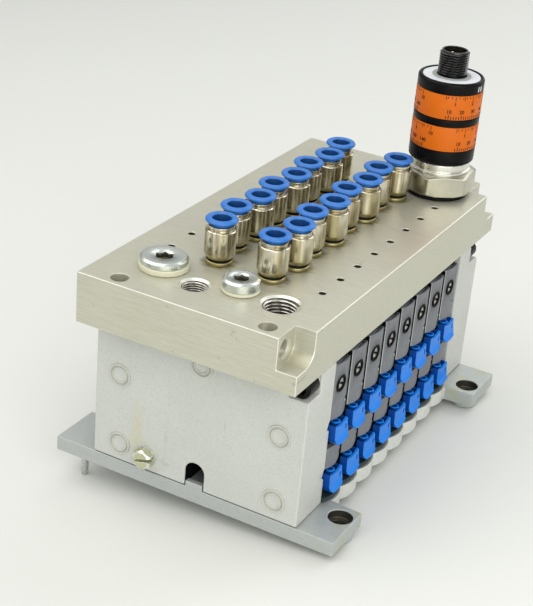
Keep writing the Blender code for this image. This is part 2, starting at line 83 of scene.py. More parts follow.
class Finish:
    """A Principled material in the making. Patterns are in object space, in metres."""

    def __init__(self, name, colour, roughness, metallic=0.0, **sockets):
        self.material = bpy.data.materials.new(name)
        self.material.use_nodes = True
        self.tree = self.material.node_tree
        self.shader = self.tree.nodes["Principled BSDF"]
        self.set("Base Color", (*colour, 1.0))
        self.set("Roughness", roughness)
        self.set("Metallic", metallic)
        for socket, value in sockets.items():
            self.set(socket.replace("_", " "), value)
        self.colour = None
        self.start = (*colour, 1.0)
        self.height = None

    def set(self, socket, value):
        self.shader.inputs[socket].default_value = value

    def node(self, kind, **values):
        made = self.tree.nodes.new(kind)
        for name, value in values.items():
            setattr(made, name, value)
        return made

    def link(self, source, target):
        self.tree.links.new(source, target)

    def math(self, operation, first, second=None, clamp=False):
        made = self.node("ShaderNodeMath", operation=operation, use_clamp=clamp)
        for socket, value in zip(made.inputs, (first, second)):
            if value is None:
                continue
            if isinstance(value, (int, float)):
                socket.default_value = value
            else:
                self.link(value, socket)
        return made.outputs[0]

    def place(self, stretch=(1, 1, 1)):
        coordinates = self.node("ShaderNodeTexCoord")
        mapping = self.node("ShaderNodeMapping")
        mapping.inputs["Scale"].default_value = stretch
        self.link(coordinates.outputs["Object"], mapping.inputs["Vector"])
        return mapping.outputs["Vector"]

    def axis(self, letter):
        split = self.node("ShaderNodeSeparateXYZ")
        self.link(self.place(), split.inputs[0])
        return split.outputs[letter]

    def noise(self, size, detail=3.0, stretch=(1, 1, 1), roughness=0.55):
        """Noise from 0 to 1 with features of that size, in metres."""
        made = self.node("ShaderNodeTexNoise")
        made.inputs["Scale"].default_value = 1 / size
        made.inputs["Detail"].default_value = detail
        made.inputs["Roughness"].default_value = roughness
        self.link(self.place(stretch), made.inputs["Vector"])
        return made.outputs["Fac"]

    def span(self, value, low, high, to_low=0.0, to_high=1.0):
        made = self.node("ShaderNodeMapRange", clamp=True)
        ends = {"From Min": low, "From Max": high, "To Min": to_low, "To Max": to_high}
        for socket, number in ends.items():
            made.inputs[socket].default_value = number
        self.link(value, made.inputs["Value"])
        return made.outputs["Result"]

    def tint(self, mask, colour):
        """Mixes a colour in where the mask is 1."""
        mix = self.node("ShaderNodeMix", data_type="RGBA")
        self.link(mask, mix.inputs["Factor"])
        if self.colour is None:
            mix.inputs["A"].default_value = self.start
        else:
            self.link(self.colour, mix.inputs["A"])
        mix.inputs["B"].default_value = (*colour, 1.0)
        self.colour = mix.outputs["Result"]
        self.link(self.colour, self.shader.inputs["Base Color"])
        return self

    def mottle(self, colour, low, high, share, *noise):
        """Mixes a colour in, up to that share, where a noise rises from low to high."""
        return self.tint(self.span(self.noise(*noise), low, high, 0.0, share), colour)

    def rough(self, mask, low, high):
        self.link(self.span(mask, 0.3, 0.7, low, high), self.shader.inputs["Roughness"])
        return self

    def bump(self, height, depth, strength=1.0):
        """Adds a relief of that depth, in metres."""
        made = self.node("ShaderNodeBump")
        made.inputs["Strength"].default_value = strength
        made.inputs["Distance"].default_value = depth
        self.link(height, made.inputs["Height"])
        if self.height is not None:
            self.link(self.height, made.inputs["Normal"])
        self.height = made.outputs["Normal"]
        self.link(self.height, self.shader.inputs["Normal"])
        return self

    def blob(self, centre, radii, ragged=0.25):
        """Mask that is 1 at a centre and 0 at the ragged surface of an ellipsoid round it."""
        offset = self.node("ShaderNodeVectorMath", operation="SUBTRACT")
        offset.inputs[1].default_value = centre
        self.link(self.place(), offset.inputs[0])
        scaled = self.node("ShaderNodeVectorMath", operation="DIVIDE")
        scaled.inputs[1].default_value = radii
        self.link(offset.outputs[0], scaled.inputs[0])
        length = self.node("ShaderNodeVectorMath", operation="LENGTH")
        self.link(scaled.outputs[0], length.inputs[0])
        noise = self.span(self.noise(0.003, 3), 0.3, 0.7, -ragged, ragged)
        return self.span(self.math("ADD", length.outputs["Value"], noise), 0.2, 1.0, 1.0, 0.0)


def near_axes(finish, x, y, period):
    """Distance from axes along Z at x and y, repeated along Y."""
    split = finish.node("ShaderNodeSeparateXYZ")
    finish.link(finish.place(), split.inputs[0])
    across = finish.math("SUBTRACT", split.outputs["X"], x)
    along = finish.node("ShaderNodeMath", operation="WRAP")
    finish.link(finish.math("SUBTRACT", split.outputs["Y"], y), along.inputs[0])
    along.inputs[1].default_value = -period / 2
    along.inputs[2].default_value = period / 2
    squares = finish.math("ADD", finish.math("MULTIPLY", across, across),
                          finish.math("MULTIPLY", along.outputs[0], along.outputs[0]))
    return finish.math("SQRT", squares)


def make_anodised():
    """Champagne anodised plate: fine brushed grain, dirt round the fittings, small scratches."""
    finish = Finish("anodised_plate", (0.545, 0.535, 0.44), 0.42, 0.55)
    finish.mottle((0.56, 0.57, 0.49), 0.35, 0.7, 0.35, 0.03, 2)
    finish.mottle((0.36, 0.35, 0.26), 0.35, 0.7, 0.3, 0.0005, 3, (0.06, 1, 1))
    finish.mottle((0.66, 0.66, 0.58), 0.55, 0.75, 0.3, 0.0006, 2, (0.10, 1, 1))
    behind_first = finish.span(finish.axis("Y"), SLICES[0][0].y, SLICES[0][0].y + 0.001)
    before_last = finish.span(finish.axis("Y"), SLICES[-1][1].y, SLICES[-1][1].y - 0.001)
    on_top = finish.math("MULTIPLY", finish.span(finish.axis("Z"), CORNER.z - 0.001, CORNER.z - 0.0005),
                         finish.math("MULTIPLY", behind_first, before_last))
    for row in ("left", "right"):
        for number in (1, 2):
            centre = middle("release_collar_%s_%d" % (row, number))
            distance = near_axes(finish, centre.x, centre.y, 2 * PITCH)
            wander = finish.span(finish.noise(0.0022, 4), 0.3, 0.7, -0.0012, 0.0010)
            edge = finish.math("ADD", distance, wander)
            spread = finish.math("MULTIPLY", finish.span(edge, 0.0048, 0.0074, 0.85, 0.0), on_top)
            finish.tint(spread, (0.20, 0.175, 0.07))
    # Faint dirt round the two ports and between them, and a stain in the front notch
    for x, y, radius in ((0.0379, 0.017, 0.0068), (0.069, 0.0225, 0.0096), (0.0524, 0.0234, 0.0086)):
        patch = finish.blob(at(x, y), (radius, radius, 0.002), 0.5)
        finish.tint(finish.math("MULTIPLY", patch, 0.30), (0.25, 0.23, 0.14))
    stain = finish.blob(at(0.0846, 0.009, -0.0105), (0.006, 0.006, 0.004), 0.4)
    finish.tint(finish.math("MULTIPLY", stain, 0.22), (0.42, 0.36, 0.14))
    finish.rough(finish.noise(0.001, 3, (0.2, 1, 1)), 0.36, 0.5)
    finish.bump(finish.noise(0.0004, 3, (0.08, 1, 1)), 0.000008, 0.6)
    finish.mottle((0.26, 0.25, 0.19), 0.69, 0.71, 0.4, 0.0025, 4, (0.5, 0.07, 0.5))
    return finish.material


def make_cast():
    """Blasted die casting: fine speckle, faint stains, an oil run above the earth screw."""
    finish = Finish("cast_metal", (0.55, 0.565, 0.535), 0.55, 0.25)
    finish.mottle((0.47, 0.485, 0.44), 0.4, 0.72, 0.4, 0.022, 3)
    finish.mottle((0.38, 0.385, 0.35), 0.52, 0.7, 0.45, 0.0005, 2)
    finish.tint(finish.span(finish.noise(0.0008, 1), 0.3, 0.4, 0.3, 0.0), (0.66, 0.66, 0.63))
    oil = finish.blob(at(0.0205, 0.0116, -0.0615), (0.0035, 0.004, 0.0135), 0.4)
    finish.tint(finish.math("MULTIPLY", oil, 0.4), (0.52, 0.48, 0.24))
    finish.mottle((0.30, 0.30, 0.27), 0.70, 0.74, 0.35, 0.006, 5, (1, 1, 0.25))
    finish.rough(finish.noise(0.002, 3), 0.5, 0.62)
    finish.bump(finish.noise(0.00045, 3), 0.00004, 0.7)
    finish.bump(finish.noise(0.006, 2), 0.00005, 0.5)
    return finish.material


def make_plain_aluminium():
    """Cool milled aluminium with a yellow stain in places."""
    finish = Finish("plain_aluminium", (0.46, 0.49, 0.475), 0.45, 0.5)
    finish.mottle((0.31, 0.34, 0.33), 0.4, 0.7, 0.3, 0.0006, 2, (0.25, 1, 1))
    stain = finish.math("MULTIPLY", finish.span(finish.noise(0.011, 4), 0.54, 0.68),
                        finish.span(finish.axis("X"), 0.02, 0.05))
    finish.tint(finish.math("MULTIPLY", stain, 0.5), (0.46, 0.45, 0.22))
    finish.rough(finish.noise(0.003, 3), 0.38, 0.55)
    finish.bump(finish.noise(0.0004, 3), 0.000025, 0.6)
    return finish.material


def make_nickel(name, colour, low, high):
    """Bright nickel plate with painted reflections as brown and pale streaks along its length, and browner
    towards its foot.
    The painted streaks differ from one fitting to the next."""
    finish = Finish(name, colour, low, 0.95)
    shift = finish.math("MULTIPLY", finish.node("ShaderNodeObjectInfo").outputs["Random"], 0.2)
    offset = finish.node("ShaderNodeCombineXYZ")
    finish.link(shift, offset.inputs["X"])
    moved = finish.node("ShaderNodeVectorMath", operation="ADD")
    finish.link(finish.place((1, 1, 0.08)), moved.inputs[0])
    finish.link(offset.outputs[0], moved.inputs[1])
    # Painted reflections: two brown streak colours and a pale one, stretched along Z.
    for size, start, end, share, reflection_streak in (
            (0.0042, 0.50, 0.60, 0.75, (0.30, 0.25, 0.12)), (0.0016, 0.56, 0.66, 0.55, (0.24, 0.20, 0.10)),
            (0.0030, 0.36, 0.30, 0.65, (0.82, 0.79, 0.68))):
        made = finish.node("ShaderNodeTexNoise")
        made.inputs["Scale"].default_value = 1 / size
        made.inputs["Detail"].default_value = 1.5
        finish.link(moved.outputs[0], made.inputs["Vector"])
        finish.tint(finish.span(made.outputs["Fac"], start, end, 0.0, share), reflection_streak)
    finish.tint(finish.span(finish.axis("Z"), 0.0060, 0.0035, 0.0, 0.6), (0.34, 0.28, 0.10))
    finish.rough(finish.noise(0.0015, 3), low, high)
    return finish.material


def make_satin_metal(name, colour, roughness, spread=0.12, metallic=0.9):
    finish = Finish(name, colour, roughness, metallic)
    darker = tuple(0.72 * channel for channel in colour)
    finish.mottle(darker, 0.45, 0.75, 2.5 * spread, 0.004, 2)
    finish.rough(finish.noise(0.0015, 2), roughness, roughness + spread)
    return finish.material


def make_plastic(name, colour, roughness, grain=0.00025, depth=0.000006, lighter=0.15, shine=0.4):
    """Moulded plastic with a fine spark-eroded grain and faint cloudiness."""
    finish = Finish(name, colour, roughness, 0.0, Specular_IOR_Level=shine)
    pale = tuple(channel + lighter * (1 - channel) for channel in colour)
    finish.mottle(pale, 0.4, 0.75, 0.35, 0.004, 3)
    finish.rough(finish.noise(0.0012, 3), roughness - 0.05, roughness + 0.08)
    finish.bump(finish.noise(grain, 2), depth, 0.6)
    return finish.material


ANODISED = make_anodised()
CAST = make_cast()
CAST_DARK = make_satin_metal("cast_shade", (0.44, 0.44, 0.39), 0.6, metallic=0.2)
# Painted light: a paler aluminium for the base's scalloped side faces.
SCALLOP_PAINTED_LIGHT = make_satin_metal("milled_aluminium", (0.58, 0.60, 0.56), 0.5, metallic=0.1)
PLAIN = make_plain_aluminium()
NICKEL = make_nickel("nickel_plate", (0.62, 0.58, 0.46), 0.14, 0.26)
BRASS = make_satin_metal("brass_foot", (0.42, 0.36, 0.18), 0.28)
HEX_METAL = make_satin_metal("hexagon_metal", (0.50, 0.485, 0.40), 0.27, 0.1, 0.95)
SHINY = make_satin_metal("bright_collar", (0.72, 0.71, 0.64), 0.16)
# Painted highlight: a pale glossy colour for bevels and port mouths that catch the light.
PAINTED_HIGHLIGHT_EDGE = make_satin_metal("bright_edge", (0.80, 0.80, 0.73), 0.34)
ZINC = make_satin_metal("bright_zinc", (0.62, 0.66, 0.62), 0.26, 0.04)
YELLOW_ZINC = make_satin_metal("yellow_zinc", (0.58, 0.58, 0.40), 0.22)
# Painted shade: a near-black colour for walls deep in ports, small holes, thread roots, plug sockets and
# counterbores.
BORE_PAINTED_SHADE = make_satin_metal("bore_metal", (0.13, 0.125, 0.10), 0.4)
THREAD_METAL = make_satin_metal("thread_metal", (0.60, 0.58, 0.52), 0.25)
SCREW_METAL = make_satin_metal("screw_metal", (0.52, 0.50, 0.46), 0.3)
SPOOL_STEEL = make_satin_metal("spool_steel", (0.58, 0.58, 0.58), 0.2)
GOLD = make_satin_metal("gold_pins", (0.83, 0.62, 0.25), 0.22)
COLLAR_BLUE = make_plastic("collar_blue", (0.020, 0.150, 0.50), 0.34, shine=0.3)
# Painted shade: a darker blue for the collars' bores.
COLLAR_BORE_SHADE = make_plastic("collar_bore_blue", (0.005, 0.055, 0.20), 0.4, lighter=0.02)
CLIP_BLUE = make_plastic("clip_blue", (0.004, 0.185, 0.70), 0.36, lighter=0.04, shine=0.2)
# Painted shade: a darker blue for the keys' left facets, their hollow backs and the buttons behind the wall.
CLIP_PAINTED_SHADE = make_plastic("clip_side_blue", (0.001, 0.055, 0.30), 0.45, lighter=0.02, shine=0.15)
SLICE_GREY = make_plastic("slice_grey", (0.15, 0.158, 0.172), 0.5, grain=0.0004, depth=0.00002, lighter=0.08)
# Painted highlight: a lighter grey for the covers' edge bevels.
SLICE_RIM_HIGHLIGHT = make_plastic("slice_rim", (0.40, 0.41, 0.40), 0.4, lighter=0.1)
# Near-black of the slice cores, also used as painted shade on the covers' side walls and inside the front end
# plate's arch.
SLICE_BLACK_AND_SHADE = make_plastic("slice_dark", (0.003, 0.003, 0.003), 0.6, lighter=0.005, shine=0.1)
FOOT_DARK = make_plastic("slice_foot_dark", (0.016, 0.030, 0.032), 0.45, lighter=0.05, shine=0.3)
BLACK = make_plastic("black_plastic", (0.002, 0.002, 0.002), 0.30, lighter=0.006, shine=0.12)
CONNECTOR_BLACK = make_plastic("connector_black", (0.006, 0.006, 0.006), 0.22, lighter=0.01, shine=0.7)
RUBBER = make_plastic("black_rubber", (0.004, 0.004, 0.004), 0.6, lighter=0.01, shine=0.1)
ORANGE = make_plastic("ring_orange", (0.60, 0.125, 0.003), 0.42, lighter=0.02, shine=0.2)
INK = make_plastic("scale_ink", (0.045, 0.002, 0.004), 0.5, lighter=0.01, shine=0.2)
LABEL = make_plastic("label_white", (0.66, 0.68, 0.72), 0.45, lighter=0.1)
LABEL_GREY = make_plastic("label_grey", (0.30, 0.32, 0.30), 0.45, lighter=0.1)
SEAL = make_plastic("seal_cream", (0.58, 0.57, 0.42), 0.45, lighter=0.1)
LED_GREEN = make_plastic("indicator_green", (0.25, 0.42, 0.30), 0.2, lighter=0.3)


# Mesh helpers

def mesh_object(name, bm, materials, sharp=35):
    mesh = bpy.data.meshes.new(name)
    bmesh.ops.recalc_face_normals(bm, faces=bm.faces)
    bm.to_mesh(mesh)
    bm.free()
    for material in materials:
        mesh.materials.append(material)
    mesh.shade_smooth()
    mesh.set_sharp_from_angle(angle=math.radians(sharp))
    obj = bpy.data.objects.new(name, mesh)
    bpy.context.scene.collection.objects.link(obj)
    return obj


def rounded(points, radius, steps=3, closed=False):
    """Polyline with each corner replaced by an arc. A point's third value is its own radius."""
    result, count = [], len(points)
    for index, point in enumerate(points):
        here, size = Vector(point[:2]), point[2] if len(point) > 2 else radius
        if (not closed and index in (0, count - 1)) or size == 0:
            result.append(tuple(here))
            continue
        before, after = Vector(points[index - 1][:2]), Vector(points[(index + 1) % count][:2])
        back, ahead = (before - here).normalized(), (after - here).normalized()
        turn = back.angle(ahead)
        if turn > math.radians(175):
            result.append(tuple(here))
            continue
        reach = min(size / math.tan(turn / 2), 0.49 * (before - here).length, 0.49 * (after - here).length)
        true_radius = reach * math.tan(turn / 2)
        centre = here + (back + ahead).normalized() * (true_radius / math.sin(turn / 2))
        first, last = here + back * reach - centre, here + ahead * reach - centre
        sweep = first.angle_signed(last)
        for step in range(steps + 1):
            spoke = Matrix.Rotation(-sweep * step / steps, 2) @ first
            result.append(tuple(centre + spoke))
    return result


def lathe(name, profile, materials, steps=48, sharp=35):
    """Turned shape about Z, from (radius, height) points. It is closed on itself or on the axis."""
    bm = bmesh.new()
    rings = []
    for radius, height in profile:
        if radius < 1e-7:
            rings.append([bm.verts.new((0, 0, height))])
        else:
            rings.append([bm.verts.new((radius * math.cos(2 * math.pi * k / steps),
                                        radius * math.sin(2 * math.pi * k / steps), height))
                          for k in range(steps)])
    pairs = list(zip(rings, rings[1:]))
    if len(rings[0]) > 1 and len(rings[-1]) > 1:
        pairs.append((rings[-1], rings[0]))
    for first, second in pairs:
        for k in range(steps):
            n = (k + 1) % steps
            corners = [first[k % len(first)], first[n % len(first)], second[n % len(second)],
                       second[k % len(second)]]
            bm.faces.new(list(dict.fromkeys(corners)))
    return mesh_object(name, bm, materials, sharp)


def turned(name, section, materials, radius=0.2, arc=3, steps=48, sharp=35):
    """Turned piece from a section in millimetres, with its corners rounded. The ends on the axis
    stay as they are."""
    points = [[value / 1000 for value in point] for point in section]
    profile = rounded(points, radius / 1000, arc, closed=section[0][0] > 0)
    return lathe(name, profile, materials, steps, sharp)


def prism(name, outline, low, high, materials, turn=None, sharp=35):
    """Outline in XY extruded from low to high along Z, then turned by a matrix."""
    bm = bmesh.new()
    bottom = [bm.verts.new((x, y, low)) for x, y in outline]
    top = [bm.verts.new((x, y, high)) for x, y in outline]
    bm.faces.new(bottom)
    bm.faces.new(top)
    for k in range(len(outline)):
        n = (k + 1) % len(outline)
        bm.faces.new((bottom[k], bottom[n], top[n], top[k]))
    if turn:
        bmesh.ops.transform(bm, matrix=turn, verts=bm.verts)
    return mesh_object(name, bm, materials, sharp)


# Prisms whose outline is in (Y, Z) and that run along X, or in (X, Z) and run along -Y
ALONG_X = Matrix(((0, 0, 1, 0), (1, 0, 0, 0), (0, 1, 0, 0), (0, 0, 0, 1)))
ALONG_Y = Matrix(((1, 0, 0, 0), (0, 0, -1, 0), (0, 1, 0, 0), (0, 0, 0, 1)))
FACING_FRONT = Matrix.Rotation(math.radians(90), 4, "X")
FACING_RIGHT = Matrix.Rotation(math.radians(90), 4, "Y")


def block(name, low, high, materials):
    """Box between two corners, to be cut and bevelled."""
    outline = [(low[0], low[1]), (high[0], low[1]), (high[0], high[1]), (low[0], high[1])]
    return prism(name, outline, low[2], high[2], materials)


def rod(name, start, end, radius, materials=(), steps=48):
    """Cylinder between two points, used as a cutter."""
    start, end = Vector(start), Vector(end)
    length = (end - start).length
    obj = lathe(name, [(0, length), (radius, length), (radius, 0), (0, 0)], materials, steps)
    turn = (end - start).to_track_quat("Z", "Y").to_matrix().to_4x4()
    obj.data.transform(Matrix.Translation(start) @ turn)
    return obj


def settle(obj):
    """Applies the object's modifiers to its mesh."""
    bpy.context.view_layer.update()
    evaluated = obj.evaluated_get(bpy.context.evaluated_depsgraph_get())
    mesh = bpy.data.meshes.new_from_object(evaluated, preserve_all_data_layers=True,
                                           depsgraph=bpy.context.evaluated_depsgraph_get())
    obj.modifiers.clear()
    obj.data = mesh
    return obj


def combine(obj, others, operation="DIFFERENCE"):
    """Booleans with a list of objects, which are used up."""
    tools = bpy.data.collections.new(obj.name + "_tools")
    for other in others:
        tools.objects.link(other)
    modifier = obj.modifiers.new("shape", "BOOLEAN")
    modifier.operation, modifier.solver = operation, "EXACT"
    modifier.operand_type, modifier.collection = "COLLECTION", tools
    settle(obj)
    for other in others:
        bpy.data.objects.remove(other, do_unlink=True)
    bpy.data.collections.remove(tools)
    return obj


def soften(obj, width, segments=2, limit=50):
    """Rounded edges, with the flat faces shaded flat."""
    modifier = obj.modifiers.new("edges", "BEVEL")
    modifier.width, modifier.segments = width, segments
    modifier.limit_method, modifier.angle_limit = "ANGLE", math.radians(limit)
    modifier.use_clamp_overlap = False
    modifier.harden_normals = True
    settle(obj)
    return obj


def colour_faces(obj, rule):
    """Gives each face the material index that rule(face) returns."""
    for face in obj.data.polygons:
        face.material_index = rule(face)
    return obj


def keep(obj, body, slot=None, *stands_for):
    """Makes a finished object a piece of the visual model."""
    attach(obj, body)
    if stands_for:
        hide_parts(*stands_for)
    return obj


def copy_to(pattern, name, place, body, slot=None, *stands_for):
    """Another object with the pattern's mesh."""
    obj = bpy.data.objects.new(name, pattern.data)
    obj.location = place
    bpy.context.scene.collection.objects.link(obj)
    return keep(obj, body, slot, *stands_for)


def keep_at(place, slot, *pieces):
    """Keeps pieces of the terminal that share a place."""
    for piece in pieces:
        piece.location = place
        keep(piece, "terminal", slot)


def drop(*patterns):
    for pattern in patterns:
        bpy.data.objects.remove(pattern, do_unlink=True)


def thread(name, crest, root, pitch, length, wall, materials, steps=72, rows=10):
    """Threaded sleeve about Z from height 0 down to -length. Its other face is a plain wall: the
    thread is internal where the wall is wider than the root."""
    bm = bmesh.new()
    count = int(length / pitch * rows)
    loops = []
    for row in range(count + 1):
        depth, loop = length * row / count, []
        for k in range(steps):
            phase = (depth / pitch + k / steps) % 1.0
            share = min(1.0, max(0.0, 2.6 * abs(phase - 0.5) - 0.15))
            radius = root + (crest - root) * share
            loop.append(bm.verts.new((radius * math.cos(2 * math.pi * k / steps),
                                      radius * math.sin(2 * math.pi * k / steps), -depth)))
        loops.append(loop)
    for height in (-length, 0.0):
        loops.append([bm.verts.new((wall * math.cos(2 * math.pi * k / steps),
                                    wall * math.sin(2 * math.pi * k / steps), height))
                      for k in range(steps)])
    for first, second in zip(loops, loops[1:] + loops[:1]):
        for k in range(steps):
            n = (k + 1) % steps
            bm.faces.new((first[k], first[n], second[n], second[k]))
    return mesh_object(name, bm, materials, 50)


# Connector plate

NOTCH_X, NOTCH_Y, NOTCH_DEPTH, NOTCH_RADIUS = 0.0079, 0.0119, 0.0118, 0.006
THROUGH_HOLES = [(0.0142, 0.0055), (0.0733, 0.0055), (0.0142, LENGTH - 0.0055)]
THROUGH_RADIUS, CROSS_RADIUS, CROSS_Y, CROSS_Z = 0.00325, 0.003, 0.0050, -0.0058
# Where each port is, its radius and its thread's pitch
PORTS = {"supply": (0.069, 0.0225, 0.0066, 0.0013), "pilot": (0.0379, 0.017, 0.00485, 0.0009)}
PORT_DEPTH, PORT_CHAMFER = 0.0115, 0.0008
SMALL_HOLE, SMALL_HOLE_ROWS, SMALL_HOLE_START = 0.00135, (0.0139, 0.0761), 0.0394


def notch(end):
    """Cutter of a corner notch at the front (0) or the rear (1), rounded between floor and wall."""
    inward = 1 if end == 0 else -1
    outline = rounded([(-inward * 0.002, 0.002), (inward * NOTCH_Y, 0.002),
                       (inward * NOTCH_Y, -NOTCH_DEPTH, NOTCH_RADIUS), (-inward * 0.002, -NOTCH_DEPTH)],
                      0, steps=12)
    cutter = prism("notch", outline, -NOTCH_X, 0.002, [ANODISED], ALONG_X)
    cutter.data.transform(Matrix.Translation(at(WIDTH, end * LENGTH)))
    return cutter


def plate_material(face):
    """Painted highlights on the outer bevels and port mouths, and painted shade on the walls in the ports and
    the small holes.
    """
    place, normal = face.center - CORNER, face.normal
    slanted = max(abs(component) for component in normal) < 0.97
    at_port = any((place.xy - Vector((x, y))).length < radius + 0.002 for x, y, radius, _ in PORTS.values())
    if slanted and at_port and place.z > -0.0009 and normal.z > 0.3:
        return 1
    if slanted and min(place.x, WIDTH - place.x, place.y, LENGTH - place.y) < 0.0004:
        return 1
    in_row = any(abs(place.x - x) < 0.002 for x in SMALL_HOLE_ROWS) and place.y > SMALL_HOLE_START - 0.002
    return 2 if (at_port or in_row) and 0.0006 < -place.z < 0.0125 else 0


def build_connector_plate():
    plate = block("connector_block", at(0, 0, -PLATE_THICKNESS), at(WIDTH, LENGTH), [ANODISED])
    wall = WIDTH - NOTCH_X
    end = THROUGH_HOLES[1][0] - wall
    cross = lathe("cross_bore", [
        (0, 0.002), (CROSS_RADIUS + 0.0012, 0.002), (CROSS_RADIUS + 0.0009, 0), (CROSS_RADIUS, -0.0007),
        (CROSS_RADIUS, end), (0, end)], [ANODISED])
    cross.data.transform(Matrix.Translation(at(wall, CROSS_Y, CROSS_Z)) @ FACING_RIGHT)
    cutters = [notch(0), notch(1), cross]
    for x, y in THROUGH_HOLES:
        cutters.append(rod("hole", at(x, y, -0.03), at(x, y, 0.01), THROUGH_RADIUS))
    for x, y, radius, _ in PORTS.values():
        bore = lathe("port", [
            (0, 0.002), (radius + PORT_CHAMFER, 0.002), (radius + PORT_CHAMFER, 0), (radius, -PORT_CHAMFER),
            (radius, -PORT_DEPTH), (0, -PORT_DEPTH - 0.002)], [ANODISED], 64)
        bore.data.transform(Matrix.Translation(at(x, y)))
        cutters.append(bore)
    for index in range(VALVES):
        for x in SMALL_HOLE_ROWS:
            hole = lathe("small_hole", [
                (0, 0.001), (SMALL_HOLE + 0.00025, 0.001), (SMALL_HOLE + 0.00025, 0), (SMALL_HOLE, -0.00025),
                (SMALL_HOLE, -0.006), (0, -0.0068)], [ANODISED], 32)
            hole.data.transform(Matrix.Translation(at(x, SMALL_HOLE_START + PITCH * index)))
            cutters.append(hole)
    combine(plate, cutters)
    soften(plate, 0.00028)
    for material in (PAINTED_HIGHLIGHT_EDGE, BORE_PAINTED_SHADE):
        plate.data.materials.append(material)
    colour_faces(plate, plate_material)
    keep(plate, "terminal", "anodised_plate", "connector_plate")

    for name, (x, y, radius, pitch) in PORTS.items():
        sleeve = thread("%s_port_thread" % name, radius - 0.75 * pitch, radius - 0.0001, pitch,
                        PORT_DEPTH - PORT_CHAMFER - 0.001, radius - 0.00002, [THREAD_METAL, BORE_PAINTED_SHADE])
        # Painted shade in the thread roots, on the faces beyond this radius.
        deep = radius - 0.35 * pitch
        colour_faces(sleeve, lambda face, deep=deep: 1 if face.center.xy.length > deep else 0)
        sleeve.location = at(x, y, -PORT_CHAMFER)
        keep(sleeve, "terminal", "anodised_plate")


# Push-in fittings

def build_fittings():
    foot = turned("foot_pattern", [
        (2.4, -4), (2.4, 1.6), (4.3, 1.6), (4.9, 1.2), (4.9, 0.1), (4, 0.1), (4, -4)], [BRASS], 0.2, 2)
    seal = turned("seal_pattern", [(3.6, 2.5), (4.8, 2.5), (4.8, 1.5), (3.6, 1.5)], [RUBBER], 0.3)
    body = turned("body_pattern", [
        (3.8, 14.8), (4.8, 14.8), (4.8, 13.8), (4.5, 13.75), (4.5, 13.25), (5.3, 13.25, 0.1),
        (5.7, 12.85, 0.3), (5.7, 4.2, 0.4), (4.9, 2.5), (3.4, 2.5), (3.4, 5.2), (3.8, 6.2)],
        [NICKEL], 0.15, steps=64)
    grip = turned("grip_pattern", [(2.9, 6.8), (3.7, 7.4), (3.7, 5.8), (2.6, 5.8)], [RUBBER], 0.2, 2)
    collar = turned("collar_pattern", [
        (3.5, 17.1, 0.3), (3.8, 17.5, 0.2), (5.5, 17.45, 0.3), (6, 16.9, 0.4), (5.9, 16.3, 0.3),
        (3.6, 16.3, 0.1), (3.6, 9.3), (3.3, 9.3)], [COLLAR_BLUE, COLLAR_BORE_SHADE], 0.1, 4, 64)
    # Painted shade on the faces inside the collar's bore.
    colour_faces(collar, lambda face: 1 if face.center.xy.length < 0.0035 and face.center.z < 0.0169 else 0)
    for row in ("left", "right"):
        for number in range(1, VALVES + 1):
            tag = "%s_%d" % (row, number)
            centre = middle("release_collar_" + tag)
            place = Vector((centre.x, centre.y, CORNER.z))
            for pattern, name, slot in ((foot, "foot", "nickel"), (seal, "seal", "black_plastic"),
                                        (body, "body", "nickel"), (grip, "grip", "black_plastic")):
                copy_to(pattern, "fitting_%s_%s" % (name, tag), place, "terminal", slot)
            copy_to(collar, "fitting_collar_" + tag, place, "collar_" + tag, "collar_blue",
                    "release_collar_" + tag)
    drop(foot, seal, body, grip, collar)


# Screw plugs

def build_plug(node, washer, washer_top, head, top, across):
    """Radius and top of the washer, radius and top of the head, width across the socket's flats."""
    place = middle(node)
    place.z = CORNER.z
    plug = lathe(node + "_head", rounded([
        (0, top), (head - 0.0009, top, 0.0001), (head, top - 0.0007, 0.0001), (head, washer_top + 0.0001),
        (0, washer_top + 0.0001)], 0.0001, 2), [ZINC], 72, 20)
    corner, floor = across / math.sqrt(3), top - 0.0026
    socket = lathe("socket", [(0, 0.01), (corner, 0.01), (corner, floor), (0, floor - 0.0008)], [ZINC], 6)
    mouth = lathe("mouth", [
        (0, top + 0.001), (corner + 0.0013, top + 0.001), (corner + 0.0003, top),
        (corner - 0.0004, top - 0.0007), (0, top - 0.0007)], [ZINC])
    combine(plug, [socket, mouth])
    plug.data.materials.append(BORE_PAINTED_SHADE)

    # Painted shade on the socket's walls and floor.
    def in_socket(face):
        return 1 if face.center.xy.length < corner and face.center.z < top - 0.0006 else 0

    colour_faces(plug, in_socket)
    plug.location = place
    keep(plug, "terminal", "zinc", node)
    ring = lathe(node + "_washer", rounded([
        (head - 0.0025, washer_top), (washer, washer_top, 0.0005), (washer, 0.0001, 0.0003),
        (head - 0.0025, 0.0001)], 0.0001, 3, True), [SEAL], 72)
    keep_at(place, "zinc", ring)


# Pressure switch

BANDS = {"reset": (0.0216, 0.0316), "set": (0.0349, 0.0448)}
SENSOR = middle("sensor_housing")
SENSOR_AXIS = Vector((SENSOR.x, SENSOR.y, CORNER.z))
SENSOR_RADIUS = (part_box("sensor_housing")[1].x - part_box("sensor_housing")[0].x) / 2
# Where each ring's scale has 1 bar and 10 psi, and what one bar and 10 psi take, in degrees
SCALES = {"set": (-56.6, -65.8), "reset": (-30.6, -41.6)}
BAR_STEP, PSI_STEP = 33.1, 22.7
HEXAGON, HEXAGON_TURN = 0.0275, -24
# The housing's mark for the rings: its angle, low end, high end and half width
MARKER = (math.radians(-8), 0.0458, 0.0478, 0.0011)


def on_drum(point, radius):
    """Wraps a flat point round the switch: x becomes the angle, y the height, z stands out."""
    angle, reach = point.x / radius, radius + point.z
    return Vector((reach * math.cos(angle), reach * math.sin(angle), point.y))


